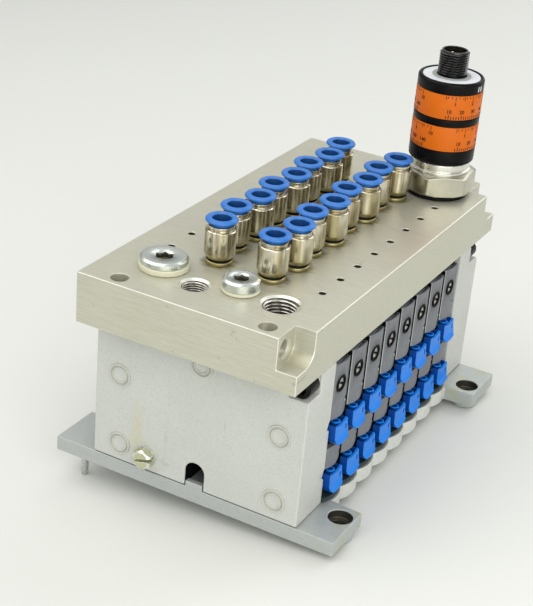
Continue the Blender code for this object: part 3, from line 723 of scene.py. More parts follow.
def ink_bars(bars, radius):
    """Thin raised bars on a drum, each (angle, low height, high height, half width)."""
    bm = bmesh.new()
    for angle, low, high, half in bars:
        corners = []
        for proud in (-0.0001, 0.00003):
            for x, y in ((-half, low), (half, low), (half, high), (-half, high)):
                corners.append(bm.verts.new(on_drum(Vector((angle * radius + x, y, proud)), radius)))
        for face in ((3, 2, 1, 0), (4, 5, 6, 7), (0, 1, 5, 4), (1, 2, 6, 5), (2, 3, 7, 6), (3, 0, 4, 7)):
            bm.faces.new([corners[k] for k in face])
    return bm


def drum_number(text, angle, height, size, radius):
    """Mesh of a number wrapped on a drum."""
    curve = bpy.data.curves.new("number", "FONT")
    curve.body, curve.size, curve.align_x = text, size, "CENTER"
    curve.extrude, curve.offset, curve.resolution_u = 0.00004, 0.00005, 3
    obj = bpy.data.objects.new("number", curve)
    bpy.context.scene.collection.objects.link(obj)
    bpy.context.view_layer.update()
    mesh = bpy.data.meshes.new_from_object(obj.evaluated_get(bpy.context.evaluated_depsgraph_get()))
    for vertex in mesh.vertices:
        point = Vector((vertex.co.x + angle * radius, vertex.co.y + height, vertex.co.z))
        vertex.co = on_drum(point, radius)
    drop(obj)
    return mesh


def build_ring(name):
    """Setting ring with a scale of 10 bar along its top edge and 140 psi along its lower edge."""
    low, high = BANDS[name]
    radius = SENSOR_RADIUS - 0.00005
    section = rounded([(0.0112, high), (radius, high), (radius, low), (0.0112, low)], 0.0002, 3, True)
    ring = lathe(name + "_dial_ring", section, [ORANGE], 96)
    ring.location = SENSOR_AXIS
    keep(ring, name + "_dial", "ring_orange", name + "_ring")

    one_bar, ten_psi = SCALES[name]
    bars, labels = [], []
    for tenth in range(5, 101):
        angle = math.radians(one_bar + BAR_STEP * (tenth - 10) / 10)
        length = 0.0017 if tenth % 10 == 0 else 0.0014 if tenth % 5 == 0 else 0.0009
        if tenth % 2 == 0 or tenth % 5 == 0:
            bars.append((angle, high - 0.0003 - length, high - 0.0003, 0.00014))
        if tenth % 10 == 0:
            labels.append((str(tenth // 10), angle, high - 0.0039))
    for step in range(4, 71):
        angle = math.radians(ten_psi + PSI_STEP * (step - 5) / 5)
        length = 0.0018 if step % 5 == 0 else 0.0012
        bars.append((angle, low + 0.0003, low + 0.0003 + length, 0.00017))
        if step % 5 == 0:
            labels.append((str(2 * step), angle, low + 0.0027))
    bm = ink_bars(bars, radius)
    for text, angle, height in labels:
        bm.from_mesh(drum_number(text, angle, height, 0.0021, radius))
    ink = mesh_object(name + "_scale", bm, [INK], 30)
    ink.location = SENSOR_AXIS
    keep(ink, name + "_dial", "ring_orange")


def build_sensor():
    corner, low, high = HEXAGON / math.sqrt(3), 0.0022, 0.0107
    hexagon = lathe("switch_hexagon", [(0, high), (corner, high), (corner, low), (0, low)],
                    [HEX_METAL], 6, 20)
    hexagon.data.transform(Matrix.Rotation(math.radians(HEXAGON_TURN), 4, "Z"))
    cone = lathe("cone", [
        (0, 0.0108), (0.0131, 0.0108), (0.0156, 0.0097), (0.0156, 0.0031), (0.0141, low), (0, low)],
        [HEX_METAL], 96)
    combine(hexagon, [cone], "INTERSECT")
    soften(hexagon, 0.0002, 2, 35)
    hexagon.location = SENSOR_AXIS
    keep(hexagon, "terminal", "nickel", "sensor_body")
    washer = turned("switch_seal", [(4, 2.1), (12.8, 2.1), (12.8, 0.1), (4, 0.1)], [RUBBER], 0.3, steps=72)
    collar = turned("switch_collar", [
        (6, 15.1), (12.2, 15.1), (12.2, 12.7, 0.2), (11.9, 12.4, 0.1), (11.9, 12.1), (12.6, 11.8, 0.2),
        (12.6, 10.7), (6, 10.7)], [SHINY], steps=96)
    radius = 1000 * SENSOR_RADIUS - 0.1
    skirt = turned("switch_skirt", [
        (8, 21.5), (radius, 21.5), (radius, 16.9, 0.3), (radius - 0.4, 16.6, 0.1), (radius - 0.4, 16.3, 0.1),
        (radius, 16, 0.3), (radius - 0.7, 15.2, 0.4), (8, 15.2)], [BLACK], 0.25, steps=96)
    core = turned("switch_core", [(6, 44.9), (10.7, 44.9), (10.7, 21.5), (6, 21.5)], [BLACK], 0.2, 2, 72)
    band = turned("switch_middle_band", [(10.5, 34.7), (radius, 34.7), (radius, 31.8), (10.5, 31.8)], [BLACK],
                  steps=96)
    cap = turned("switch_cap", [
        (5.9, 49.1), (11.6, 49.1, 0.1), (12, 49.6, 0.2), (12.7, 49.6, 0.6), (radius, 48.8, 0.8), (radius, 45),
        (5.9, 45)], [BLACK], 0.2, 4, 96)
    disc = turned("switch_label", [(6.1, 49.3), (11.5, 49.3), (11.5, 48.9), (6.1, 48.9)], [LABEL], 0.1, 2, 96)
    ring = turned("switch_label_ring", [(6, 49.7), (7.8, 49.7), (7.8, 49.2), (6, 49.2)], [LABEL_GREY],
                  steps=72)
    marker = mesh_object("switch_marker", ink_bars([MARKER], radius / 1000), [LABEL], 30)
    keep_at(SENSOR_AXIS, "nickel", collar)
    keep_at(SENSOR_AXIS, "black_plastic", washer, skirt, core, band, cap, disc, ring, marker)
    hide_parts("sensor_housing")
    build_connector()
    build_ring("set")
    build_ring("reset")


def build_connector():
    """Male round connector on top of the switch: thread, lead-in, base, insert and pins."""
    top, foot = 59.8, 49.2
    sleeve = thread("connector_thread", 0.0059, 0.0052, 0.001, (top - foot - 1.9) / 1000, 0.0045,
                    [CONNECTOR_BLACK])
    keep_at(SENSOR_AXIS + Vector((0, 0, (top - 0.8) / 1000)), "black_plastic", sleeve)
    rim = turned("connector_rim", [(4.5, top), (5.2, top, 0.3), (5.3, top - 0.9), (4.5, top - 0.9)],
                 [CONNECTOR_BLACK], steps=72)
    base = turned("connector_base", [
        (4.5, foot + 1.2), (5.5, foot + 1.2), (5.5, foot - 0.5), (4.5, foot - 0.5)], [BLACK], 0.1, 2, 72)
    insert = turned("connector_insert", [(0, 52.5), (4.4, 52.5), (4.4, foot), (0, foot)], [BLACK], 0.2, 2)
    keep_at(SENSOR_AXIS, "black_plastic", rim, base, insert)
    pin = turned("pin_pattern", [(0, 58.2), (0.5, 58.2, 0.4), (0.5, 52), (0, 52)], [GOLD], 0.1, steps=16)
    for number in range(4):
        angle = math.radians(45 + 90 * number)
        place = SENSOR_AXIS + Vector((0.0024 * math.cos(angle), 0.0024 * math.sin(angle), 0))
        copy_to(pin, "connector_pin_%d" % (number + 1), place, "terminal", "nickel")
    drop(pin)


# End plates

POCKET_X, POCKET_Y, POCKET_DEPTH = 0.08, 0.0089, 0.0077
MARK_PLACES = [(0.0122, -0.0423), (0.0131, -0.0709), (0.046, -0.027), (0.0785, -0.044), (0.0786, -0.0704)]
EARTH_SCREW, EARTH_SIGN = (0.0252, -0.072), (0.0334, -0.0722)
CLAMP_SCREW_X, CLAMP_SCREW_DROP = 0.0841, 0.0039
ARCH = (0.0458, -0.0716, 0.004)              # its middle and its radius
WEDGE_HEIGHTS = (-0.0455, -0.0659)


def end_plate_block(name, low, high, outer_is_front):
    plate = block(name, low, high, [CAST])
    edge = low.y if outer_is_front else high.y
    inward = 1 if outer_is_front else -1
    near, far = sorted((edge - inward * 0.002, edge + inward * POCKET_Y))
    pocket = block("pocket", (CORNER.x + POCKET_X, near, high.z - POCKET_DEPTH), (0.1, far, high.z + 0.01),
                   [CAST])
    return plate, pocket


def build_end_plates():
    plate, pocket = end_plate_block("front_end_cover", FRONT_LOW, FRONT_HIGH, True)
    x, z, radius = ARCH
    arch = rounded([(x - radius, -0.09), (x - radius, z + radius, radius), (x + radius, z + radius, radius),
                    (x + radius, -0.09)], 0, 12)
    arch_cutter = prism("arch", arch, -0.018, 0.01, [CAST], ALONG_Y)
    arch_cutter.data.transform(Matrix.Translation(on_front(0, 0)))
    cutters = [pocket, arch_cutter]
    for middle_z in WEDGE_HEIGHTS:
        low, high = middle_z - 0.0017, middle_z + 0.0017
        outline = [(0.0292, low), (0.032, low), (0.032, high), (0.0305, high)]
        wedge = prism("wedge", outline, WIDTH - 0.003, WIDTH + 0.002, [CAST], ALONG_X)
        wedge.data.transform(Matrix.Translation(CORNER))
        cutters.append(wedge)
    combine(plate, cutters)
    soften(plate, 0.0006, 3)
    # Painted shade: the faces inside the arch get the near-black slice colour.
    plate.data.materials.append(SLICE_BLACK_AND_SHADE)

    def in_arch(face):
        across, depth, height = face.center - on_front(x, 0)
        return 1 if abs(across) < radius + 0.0004 and depth > 0.0007 and height < -0.066 else 0

    colour_faces(plate, in_arch)
    keep(plate, "terminal", "cast_ends", "front_end_plate")

    plate, pocket = end_plate_block("rear_end_cover", REAR_LOW, REAR_HIGH, False)
    combine(plate, [pocket])
    soften(plate, 0.0007, 3)
    keep(plate, "terminal", "cast_ends", "rear_end_plate")

    mark = turned("mark_pattern", [
        (0, 0.1), (2.5, 0.1), (2.7, 0.42), (3.1, 0.42), (3.3, 0.02), (3.8, 0.02), (4, 0.5), (4.5, 0.5),
        (4.7, -0.3), (0, -0.3)], [CAST, CAST_DARK], 0.06, 2, 64)

    def shade(face):
        return 1 if abs(face.normal.z) < 0.85 or 0.0033 < face.center.xy.length < 0.0038 else 0

    colour_faces(mark, shade)
    rear_mark = mark.data.copy()
    mark.data.transform(FACING_FRONT)
    rear_mark.transform(FACING_FRONT.inverted())
    depth = Vector((0, REAR_HIGH.y - FRONT_LOW.y, 0))
    for number, (x, z) in enumerate(MARK_PLACES, 1):
        front = on_front(x, z)
        copy_to(mark, "front_mould_mark_%d" % number, front, "terminal", "cast_ends")
        rear = copy_to(mark, "rear_mould_mark_%d" % number, front + depth, "terminal", "cast_ends")
        rear.data = rear_mark
    drop(mark)
    ridge = prism("mould_line", rounded([(-0.00035, 0), (0, 0.00012), (0.00035, 0)], 0.0001, 2, True),
                  FRONT_LOW.z + 0.002, FRONT_HIGH.z - 0.001, [CAST],
                  Matrix.Translation((CORNER.x + 0.0335, FRONT_LOW.y, 0)) @ Matrix.Scale(-1, 4, (0, 1, 0)))
    keep(ridge, "terminal", "cast_ends")
    build_earth_screw()
    build_pocket_screws()


def build_earth_screw():
    corner, low, top = 0.0043, 0.0006, 0.0042
    head = lathe("earth_screw_head", [(0, top), (corner, top), (corner, low), (0, low)], [YELLOW_ZINC], 6, 15)
    head.data.transform(Matrix.Rotation(math.radians(30), 4, "Z"))
    cone = lathe("cone", rounded([
        (0, top + 0.0001), (0.0031, top + 0.0001, 0.0002), (0.0045, top - 0.0010), (0.0045, low), (0, low)],
        0.0001, 3), [YELLOW_ZINC], 64)
    combine(head, [cone], "INTERSECT")
    slot = block("slot", (-0.006, -0.00055, top - 0.0015), (0.006, 0.00055, 0.006), [YELLOW_ZINC])
    slot.data.transform(Matrix.Rotation(math.radians(15), 4, "Z"))
    combine(head, [slot])
    soften(head, 0.00018, 2, 20)
    # Painted highlight on the head's small bevel faces.
    head.data.materials.append(PAINTED_HIGHLIGHT_EDGE)
    colour_faces(head, lambda face: 1 if face.area < 0.0000006 else 0)
    shank = turned("earth_screw_shank", [(0, 2.2), (1.95, 2.2), (1.95, -6), (0, -6)], [ZINC], 0.1, 2, 32)
    washer = turned("earth_screw_washer", [(2.1, 0.6), (4, 0.6), (4, 0.1), (2.1, 0.1)], [ZINC], 0.1, steps=64)
    for piece in (head, shank, washer):
        piece.data.transform(FACING_FRONT)
    keep_at(on_front(*EARTH_SCREW), "zinc", head, shank, washer)
    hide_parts("earth_screw")
    build_earth_symbol(on_front(*EARTH_SIGN))


def build_earth_symbol(place):
    """Raised earth sign in a ring: a stem and three bars, each (half width, low, high)."""
    bm = bmesh.new()
    for half, low, high in ((0.00016, 0.0002, 0.0013), (0.0010, -0.0001, 0.0002), (0.0007, -0.0006, -0.0003),
                            (0.0004, -0.0011, -0.0008)):
        centre = Matrix.Translation((0, 0, (low + high) / 2))
        bmesh.ops.create_cube(bm, size=1, matrix=centre @ Matrix.Diagonal((2 * half, 0.0004, high - low, 1)))
    sign = mesh_object("earth_sign", bm, [CAST])
    soften(sign, 0.00006)
    ring = turned("earth_sign_ring", [(1.6, 0.2), (1.9, 0.2), (1.9, -0.2), (1.6, -0.2)], [CAST], 0.1, 2)
    ring.data.transform(FACING_FRONT)
    keep_at(place, "cast_ends", sign, ring)


def build_pocket_screws():
    """Clamp screws with a socket head, in the end plates' corner pockets."""
    screw = turned("screw_pattern", [(0, 7.8), (3.1, 7.8, 0.2), (3.8, 7.3, 0.4), (3.8, 0), (0, 0)], [BLACK],
                   steps=64)
    socket = turned("socket", [(0, 9), (2.3, 9), (2.3, 5.2), (0, 4.6)], [BLACK], 0, steps=6)
    combine(screw, [socket])
    ring = turned("ring_pattern", [(3, 0.7), (4.05, 0.7), (4.05, 0), (3, 0)], [SCREW_METAL], steps=64)
    x, z = CORNER.x + CLAMP_SCREW_X, FRONT_HIGH.z - CLAMP_SCREW_DROP
    inside = POCKET_Y - 0.0001
    for end, y, turn in (("front", FRONT_LOW.y + inside, 90), ("rear", REAR_HIGH.y - inside, -90)):
        for pattern, name, slot in ((screw, "clamp_screw_", "black_plastic"),
                                    (ring, "clamp_washer_", "zinc")):
            piece = copy_to(pattern, name + end, (x, y, z), "terminal", slot)
            piece.data = pattern.data.copy()
            piece.data.transform(Matrix.Rotation(math.radians(turn), 4, "X"))
    drop(screw, ring)


# Base plate

EAR_DEPTH, EAR_BORE_IN, EAR_BORE_END = 0.0228, 0.0055, 0.0162
EAR_BORE, COUNTERBORE, COUNTERBORE_DEPTH = 0.0029, 0.0046, 0.0034
BOSS_RADIUS, BOSS_DROP, PIN_RADIUS, PIN_IN, PIN_END = 0.0053, 0.0024, 0.0014, 0.0077, 0.0079
SCALLOP_CREST, SCALLOP_CUSP = 0.0913, 0.0893


def bulge(crest, edge, half, centre, steps):
    """Arc that bulges to +X between two points at x = edge, from low Y to high Y."""
    rise = crest - edge
    radius = (half ** 2 + rise ** 2) / (2 * rise)
    ys = [half * (2 * step / steps - 1) for step in range(steps + 1)]
    return [(crest - radius + math.sqrt(radius ** 2 - y ** 2), centre + y) for y in ys]


def build_base_plate():
    near, far = BASE_LOW.y, BASE_HIGH.y
    ear_near, ear_far = near + EAR_DEPTH, far - EAR_DEPTH
    left, right, inner = BASE_LOW.x, BASE_HIGH.x, FRONT_LOW.x
    outline = [(left, near), (right, near), (right, ear_near)]
    for centre in SLICE_MIDDLES:
        arc = bulge(CORNER.x + SCALLOP_CREST, CORNER.x + SCALLOP_CUSP, PITCH / 2, centre, 14)
        outline += [point for point in arc[:-1] if ear_near + 0.0002 < point[1] < ear_far - 0.0002]
    outline += [(right, ear_far), (right, far), (left, far), (left, ear_far), (inner, ear_far),
                (inner, ear_near), (left, ear_near)]
    underside = BASE_TOP - BASE_THICKNESS
    base = prism("base_slab", outline, underside, BASE_TOP, [PLAIN])
    cutters = []
    bore_x = right - EAR_BORE_IN
    ends = (near + EAR_BORE_END, far - EAR_BORE_END)
    for y in ends:
        cutters.append(rod("bore", (bore_x, y, underside - 0.01), (bore_x, y, BASE_TOP + 0.01), EAR_BORE))
        seat = BASE_TOP - COUNTERBORE_DEPTH
        cutters.append(rod("counterbore", (bore_x, y, seat), (bore_x, y, BASE_TOP + 0.01), COUNTERBORE))
    combine(base, cutters)
    soften(base, 0.0003, 2, 30)
    for material in (SCALLOP_PAINTED_LIGHT, BORE_PAINTED_SHADE):
        base.data.materials.append(material)

    def shade(face):
        # Painted light on the scalloped side faces between the ears.
        if face.normal.x > 0.3 and ear_near + 0.0003 < face.center.y < ear_far - 0.0003:
            return 1
        # Painted shade on the walls inside the bores and counterbores.
        near_bore = any((face.center.xy - Vector((bore_x, y))).length < COUNTERBORE + 0.00005 for y in ends)
        return 2 if near_bore and underside + 0.0003 < face.center.z < BASE_TOP - 0.0004 else 0

    colour_faces(base, shade)
    keep(base, "terminal", "base_aluminium", "base_plate")
    boss = lathe("boss_pattern", rounded([
        (EAR_BORE + 0.0001, 0.0002), (BOSS_RADIUS, 0.0002), (BOSS_RADIUS, -BOSS_DROP, 0.0004),
        (EAR_BORE + 0.0001, -BOSS_DROP, 0.0002)], 0, 4, True), [PLAIN], 64)
    pin = lathe("pin_pattern", rounded([
        (0, underside), (PIN_RADIUS, underside), (PIN_RADIUS, BASE_LOW.z, 0.0005), (0, BASE_LOW.z)], 0, 4),
        [SPOOL_STEEL], 32)
    for end, y in zip(("front", "rear"), ends):
        copy_to(boss, "ear_boss_" + end, Vector((bore_x, y, underside)), "terminal", "base_aluminium")
    for end, y in (("front", near + PIN_END), ("rear", far - PIN_END)):
        copy_to(pin, "dowel_pin_" + end, Vector((left + PIN_IN, y, 0)), "terminal", "zinc")
    drop(boss, pin)
    tab_x = CORNER.x + ARCH[0]
    tab = block("arch_tab", (tab_x - 0.0036, near, BASE_TOP - 0.0002),
                (tab_x + 0.0036, near + 0.0024, BASE_TOP + 0.0024), [PLAIN])
    soften(tab, 0.0004)
    keep(tab, "terminal", "base_aluminium")


# Valve slices

SLICE_X = 0.0861                             # face of the dark core, where the grey covers start
CREST, EDGE = 0.0883, 0.0872
HALF = (SLICES[0][1].y - SLICES[0][0].y) / 2
SCREW_PLACE, INDICATOR_PLACE = Vector((SLICE_X, -0.0011, -0.0309)), Vector((0, 0.0043, -0.0400))
SPOOL_Z, CLIP_HEIGHTS = -0.0495, (-0.05, -0.0704)


def cover(name, outline, slots=()):
    """Grey cover with a bulging face: outline in (Y, Z) from the slice's middle and the plate's top."""
    face = bulge(CREST, EDGE, HALF, 0, 16)
    section = [(SLICE_X, -HALF)] + face + [(SLICE_X, HALF)]
    body = prism(name, section, -0.08, -0.01, [SLICE_GREY, SLICE_RIM_HIGHLIGHT, SLICE_BLACK_AND_SHADE])
    combine(body, [prism("outline", outline, 0.08, 0.1, [SLICE_GREY], ALONG_X)], "INTERSECT")
    left, right = min(point[0] for point in outline), max(point[0] for point in outline)
    cutters = [block("slot", (SLICE_X + 0.0004, start, low), (0.1, end, high), [SLICE_BLACK_AND_SHADE])
               for start, end, low, high in slots]
    if cutters:
        combine(body, cutters)
    soften(body, 0.00022, 2, 28)

    # Painted highlight on the upper bevels along the left edge, and painted shade on the side walls that face
    # the gaps between covers.
    def shade(face):
        at_edge = min(face.center.y - left, right - face.center.y) < 0.0004
        if abs(face.normal.y) > 0.85 and at_edge:
            return 2
        return 1 if at_edge and face.normal.x > 0.3 and face.normal.y < 0 and face.center.z > -0.035 else 0

    return colour_faces(body, shade)


def build_slices():
    left, right = -HALF + 0.0005, HALF - 0.0006
    upper = cover("upper_pattern", rounded([
        (left, -0.0219, 0.0006), (right, -0.0231, 0.0006), (right, -0.0449, 0.0044), (0.0025, -0.0456, 0.002),
        (left, -0.0443, 0.0006)], 0, 8, True), [(0.0048, 0.0056, -0.0346, -0.02)])
    _, screw_y, screw_z = SCREW_PLACE
    pit = rod("screw_pit", (SLICE_X - 0.002, screw_y, screw_z), (0.1, screw_y, screw_z), 0.0033)
    combine(upper, [pit])
    window = cover("window_pattern", rounded([
        (left, -0.0563, 0.0006), (0.0044, -0.0570, 0.001), (0.0060, -0.0586, 0.001),
        (0.0060, -0.0653, 0.0038), (0.0015, -0.0660, 0.002), (left, -0.0648, 0.0006)], 0, 8, True),
        [(0.0050, 0.0070, -0.0607, -0.0588), (0.0050, 0.0070, -0.0634, -0.0617)])
    foot_section = [(0.08, -HALF)] + bulge(0.0905, 0.0888, HALF, 0, 16) + [(0.08, HALF)]
    foot = prism("foot_pattern", foot_section, -0.0781, -0.0763, [FOOT_DARK])
    soften(foot, 0.0003, 2, 28)
    core = build_core()
    cup = turned("cup_pattern", [(2.5, 2.3, 0.1), (3.2, 2.3, 0.2), (3.2, 0), (2.5, 0)], [RUBBER], 0.1, 4)
    screw = turned("screw_pattern", [(0, 1.9), (1.6, 1.85), (2.4, 1.6, 0.2), (2.4, 0), (0, 0)], [SCREW_METAL])
    slot = block("slot", (-0.0025, -0.0004, 0.0010), (0.0025, 0.0004, 0.004), [SCREW_METAL])
    slot.data.transform(Matrix.Rotation(math.radians(65), 4, "Z"))
    combine(screw, [slot])
    led_outline = rounded([(-0.0002, -0.0009), (0.0005, -0.0009), (0.0005, 0.0003), (-0.0002, 0.0003)],
                          0.0002, 3, True)
    led = prism("led_pattern", led_outline, 0.0869, 0.08795, [LED_GREEN], ALONG_X)
    bezel_outline = rounded([(-0.0009, -0.0013), (0.0009, -0.0013), (0.0009, 0.0013), (-0.0009, 0.0013)],
                            0.0004, 3, True)
    bezel = prism("bezel_pattern", bezel_outline, 0.0865, 0.0879, [RUBBER], ALONG_X)
    for pattern in (cup, screw):
        pattern.data.transform(FACING_RIGHT)
    for pattern in (led, bezel):
        soften(pattern, 0.0001)
    on_core, screw_foot = Vector(), SCREW_PLACE + Vector((0.0001, 0, 0))
    for number, y in enumerate(SLICE_MIDDLES, 1):
        place = Vector((CORNER.x, y, CORNER.z))
        copy_to(core, "slice_core_%d" % number, place, "terminal", "slice_grey", "valve_slice_%d" % number)
        for pattern, name, offset, slot in (
                (upper, "slice_cover", on_core, "slice_grey"),
                (window, "slice_window", on_core, "slice_grey"),
                (foot, "slice_foot", on_core, "slice_grey"),
                (cup, "slice_screw_cup", screw_foot, "black_plastic"),
                (screw, "slice_screw", screw_foot, "zinc"),
                (bezel, "indicator_bezel", INDICATOR_PLACE, "black_plastic"),
                (led, "indicator", INDICATOR_PLACE, "slice_grey")):
            copy_to(pattern, "%s_%d" % (name, number), place + offset, "terminal", slot)
    drop(core, upper, window, foot, cup, screw, led, bezel)
    build_clips()


def build_core():
    """Dark body of a slice, with the pockets that the overrides press into and the spool's bore."""
    core = block("core_pattern", (0.004, -HALF, -0.0781), (SLICE_X, HALF, -0.0197), [SLICE_BLACK_AND_SHADE])
    cutters = [block("pocket", (0.0825, -0.01, z - 0.0054), (0.1, 0.01, z + 0.0054), [SLICE_BLACK_AND_SHADE])
               for z in CLIP_HEIGHTS]
    cutters.append(rod("spool_bore", (0.002, 0, SPOOL_Z), (0.076, 0, SPOOL_Z), 0.0035, steps=32))
    combine(core, cutters)
    grooves = [block("groove", (0.002, -0.0052, low), (0.0048, 0.0052, low + 0.0045), [SLICE_BLACK_AND_SHADE])
               for low in (-0.07 + 0.009 * step for step in range(5))]
    combine(core, grooves)
    return soften(core, 0.0003, 2)


def build_clips():
    """Blue manual overrides: a key with a dished top edge, an open back, a flared round lip and a slot,
    and a round button behind its wall."""
    dish = [(y, 0.0039 - 0.0010 * (1 - ((y + 0.0011) / 0.0047) ** 2)) for y in
            [0.0009 * step - 0.0056 for step in range(11)]]
    outline = rounded([(-0.0059, -0.0010, 0.0006), (-0.0061, 0.0040, 0.0003), dish[0]], 0)[:-1]
    outline += dish + rounded([
        (0.0036, 0.0036), (0.0044, -0.0005, 0.0003), (0.0051, -0.0011, 0.0004), (0.0049, -0.0024, 0.0008),
        (0.0035, -0.0039, 0.0012), (0.0006, -0.0048, 0.002), (-0.0037, -0.0043, 0.0008),
        (-0.0052, -0.0029, 0.0008), (-0.0059, -0.0011)], 0, 4)
    clip = prism("clip_pattern", outline, 0.0872, 0.0915, [CLIP_BLUE, CLIP_PAINTED_SHADE], ALONG_X)
    slant = prism("slant", [
        (0.0903, 0.006), (0.0903, -0.0016), (0.0906, -0.0028), (0.0913, -0.0036), (0.0913, -0.006),
        (0.095, -0.006), (0.095, 0.006)], -0.01, 0.01, [CLIP_BLUE], ALONG_Y)
    hollow = block("hollow", (0.08, -0.0050, 0.0002), (0.0893, 0.0034, 0.01), [CLIP_BLUE])
    slot = block("slot", (0.0897, 0.0023, -0.0007), (0.095, 0.0030, 0.0015), [CLIP_BLUE])
    combine(clip, [slant, hollow, slot])
    soften(clip, 0.00015, 2, 40)

    # Painted shade on the faces facing -Y and inside the hollow back.
    def in_clip_shade(face):
        return 1 if face.normal.y < -0.8 or face.center.x < 0.0893 and face.normal.x < 0.3 else 0

    colour_faces(clip, in_clip_shade)
    button = turned("button_pattern", [
        (0, 2.8), (1, 2.8, 0.2), (1.2, 3.3, 0.3), (1.9, 3.3, 0.4), (1.9, -3), (0, -3)],
        [CLIP_BLUE, CLIP_PAINTED_SHADE], 0.1)
    # Painted shade on the button's stem and the middle of its dish.
    colour_faces(button, lambda face: 1 if face.center.z < 0.0022 or face.center.xy.length < 0.0011 else 0)
    for level in ("upper", "lower"):
        for number in range(1, VALVES + 1):
            tag = "%s_%d" % (level, number)
            centre = middle("override_clip_" + tag)
            place = Vector((CORNER.x, centre.y, centre.z))
            body = "override_" + tag
            copy_to(clip, "override_key_" + tag, place, body, "override_blue", "override_clip_" + tag)
            button_place = place + Vector((0.0873, -0.0004, 0))
            copy_to(button, "override_button_" + tag, button_place, body, "override_blue")
    drop(clip, button)


# Electrical connection on the far side

SOCKET_DEPTH = 0.05                          # of the socket's middle, from the plate's top


def build_multipin():
    low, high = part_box("multipin_connector")
    centre = (low + high) / 2
    casing = block("connector_cover", low, high, [BLACK])
    socket_z = CORNER.z - SOCKET_DEPTH
    socket = block("socket", (low.x - 0.003, centre.y - 0.0205, socket_z - 0.0045),
                   (low.x + 0.0056, centre.y + 0.0205, socket_z + 0.0045), [BLACK])
    cutters = [socket]
    for step in range(4):
        z = low.z + 0.004 + 0.0035 * step
        cutters.append(block("groove", (low.x - 0.001, low.y + 0.006, z),
                             (low.x + 0.0006, high.y - 0.006, z + 0.0012), [BLACK]))
    combine(casing, cutters)
    soften(casing, 0.0008, 3)
    keep(casing, "terminal", "black_plastic", "multipin_connector")
    outer = rounded([(-0.0195, -0.0036), (0.0195, -0.0036), (0.0185, 0.0036), (-0.0185, 0.0036)],
                    0.0015, 5, True)
    inner = [(y * 0.97, z * 0.86) for y, z in outer]
    shell = prism("multipin_shell", outer, low.x + 0.0012, low.x + 0.0056, [SCREW_METAL], ALONG_X)
    hollow = prism("hollow", inner, low.x, low.x + 0.0050, [SCREW_METAL], ALONG_X)
    for piece in (shell, hollow):
        piece.data.transform(Matrix.Translation((0, centre.y, socket_z)))
    combine(shell, [hollow])
    keep(shell, "terminal", "zinc")
    facing_left = FACING_RIGHT.inverted()
    pin = turned("pin_pattern", [(0, 3.6), (0.45, 3.6, 0.3), (0.45, 0), (0, 0)], [GOLD], 0.1, steps=12)
    pin.data.transform(facing_left)
    for row, count, offset in ((1, 13, 0.0014), (2, 12, -0.0014)):
        for number in range(count):
            y = centre.y + 0.00276 * (number - (count - 1) / 2)
            place = Vector((low.x + 0.0052, y, socket_z + offset))
            copy_to(pin, "multipin_%d_%d" % (row, number + 1), place, "terminal", "nickel")
    screw = turned("screw_pattern", [(0, 1.6), (1.2, 1.5), (2.4, 0.9, 0.4), (2.4, 0), (0, 0)], [SCREW_METAL],
                   steps=40)
    slot = block("slot", (-0.003, -0.0003, 0.0008), (0.003, 0.0003, 0.003), [SCREW_METAL])
    combine(screw, [slot])
    screw.data.transform(facing_left)
    number = 0
    for y in (low.y + 0.006, centre.y, high.y - 0.006):
        for z in (low.z + 0.0225, high.z - 0.005):
            if abs(z - socket_z) < 0.01 and y == centre.y:
                continue
            number += 1
            copy_to(screw, "cover_screw_%d" % number, Vector((low.x + 0.0002, y, z)), "terminal", "zinc")
    drop(pin, screw)


# Camera, floor and light

CAMERA_PLACE, CAMERA_AHEAD = Vector((0.22717, -0.47370, 0.32249)), Vector((-0.4066, 0.7983, -0.4443))
CAMERA_LENS, CAMERA_ROLL = 88.76, math.radians(5.184)


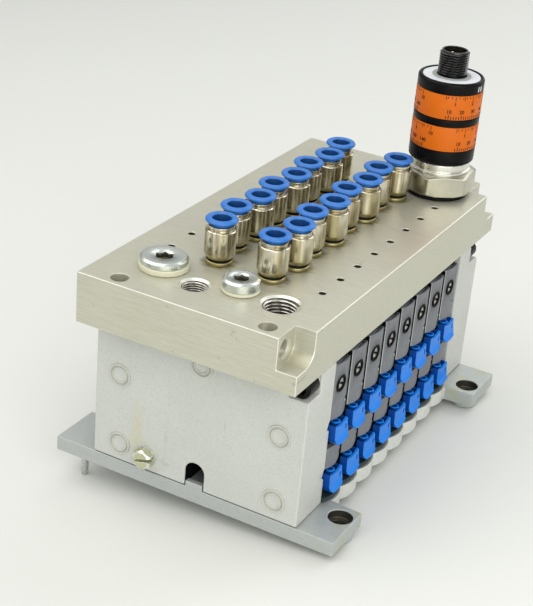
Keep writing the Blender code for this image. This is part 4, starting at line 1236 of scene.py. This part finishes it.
def build_stage():
    camera = bpy.data.objects.new("camera", bpy.data.cameras.new("camera"))
    bpy.context.scene.collection.objects.link(camera)
    camera.data.lens, camera.data.sensor_width = CAMERA_LENS, 36
    camera.data.clip_start, camera.data.clip_end = 0.01, 50
    ahead = CAMERA_AHEAD.normalized()
    level = ahead.cross(Vector((0, 0, 1))).normalized()
    right = level * math.cos(CAMERA_ROLL) + level.cross(ahead) * math.sin(CAMERA_ROLL)
    turn = Matrix((right, right.cross(ahead), -ahead)).transposed().to_4x4()
    camera.matrix_world = Matrix.Translation(CAMERA_PLACE) @ turn
    bpy.context.scene.camera = camera

    # The unit stands on its dowel pins at the left and on the lower bosses at the right, so it
    # leans. It stays upright here, and the floor leans instead.
    pin_x = BASE_LOW.x + PIN_IN
    boss_x = BASE_HIGH.x - EAR_BORE_IN + BOSS_RADIUS
    boss_z = BASE_TOP - BASE_THICKNESS - BOSS_DROP
    slope = math.atan2(boss_z, boss_x - pin_x)
    bm = bmesh.new()
    bmesh.ops.create_grid(bm, x_segments=8, y_segments=8, size=3)
    floor_finish = Finish("floor", (0.68, 0.69, 0.66), 0.6, Specular_IOR_Level=0.2)
    floor_finish.mottle((0.66, 0.668, 0.645), 0.3, 0.7, 0.3, 0.25, 2)
    floor_finish.bump(floor_finish.noise(0.002, 2), 0.00005, 0.3)
    floor = mesh_object("floor", bm, [floor_finish.material])
    floor.matrix_world = (Matrix.Translation((pin_x, 0, BASE_LOW.z - 0.0001))
                          @ Matrix.Rotation(-slope, 4, "Y") @ Matrix.Translation((0, 0.5, 0)))

    world = bpy.data.worlds.new("studio")
    bpy.context.scene.world = world
    world.use_nodes = True
    nodes, links = world.node_tree.nodes, world.node_tree.links
    coordinates = nodes.new("ShaderNodeTexCoord")
    split = nodes.new("ShaderNodeSeparateXYZ")
    ramp = nodes.new("ShaderNodeValToRGB")
    links.new(coordinates.outputs["Generated"], split.inputs[0])
    links.new(split.outputs["Z"], ramp.inputs["Fac"])
    stops = ((0.0, (0.42, 0.42, 0.40, 1)), (0.6, (1.0, 1.0, 0.99, 1)))
    for element, (position, colour) in zip(ramp.color_ramp.elements, stops):
        element.position, element.color = position, colour
    links.new(ramp.outputs["Color"], nodes["Background"].inputs["Color"])
    nodes["Background"].inputs["Strength"].default_value = 0.68

    lamp("key", (-0.45, -0.35, 0.95), (0, 0, 0.05), 1.5, 7.6, (1.0, 0.99, 0.96))
    lamp("fill", (0.68, -0.72, 0.42), (0, 0, 0.05), 1.1, 8.6, (1.0, 0.995, 0.97))
    lamp("rim", (0.25, 0.9, 0.8), (0, 0, 0.08), 1.2, 4.8, (1.0, 1.0, 1.0))
    bpy.context.scene.view_settings.view_transform = "Standard"


def lamp(name, place, target, size, power, colour):
    light = bpy.data.lights.new(name, "AREA")
    light.shape, light.size, light.energy, light.color = "DISK", size, power, colour
    obj = bpy.data.objects.new(name, light)
    obj.location = place
    obj.rotation_euler = (Vector(target) - Vector(place)).to_track_quat("-Z", "Y").to_euler()
    bpy.context.scene.collection.objects.link(obj)


build_stage()
build_connector_plate()
build_fittings()
build_plug("plug_large", 0.0092, 0.0022, 0.0087, 0.0047, 0.006)
build_plug("plug_small", 0.0069, 0.0013, 0.0067, 0.005, 0.005)
build_sensor()
build_end_plates()
build_base_plate()
build_slices()
build_multipin()
for index in range(VALVES):
    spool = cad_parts["valve_spool_%d" % (index + 1)]
    spool.data.materials.clear()
    spool.data.materials.append(SPOOL_STEEL)
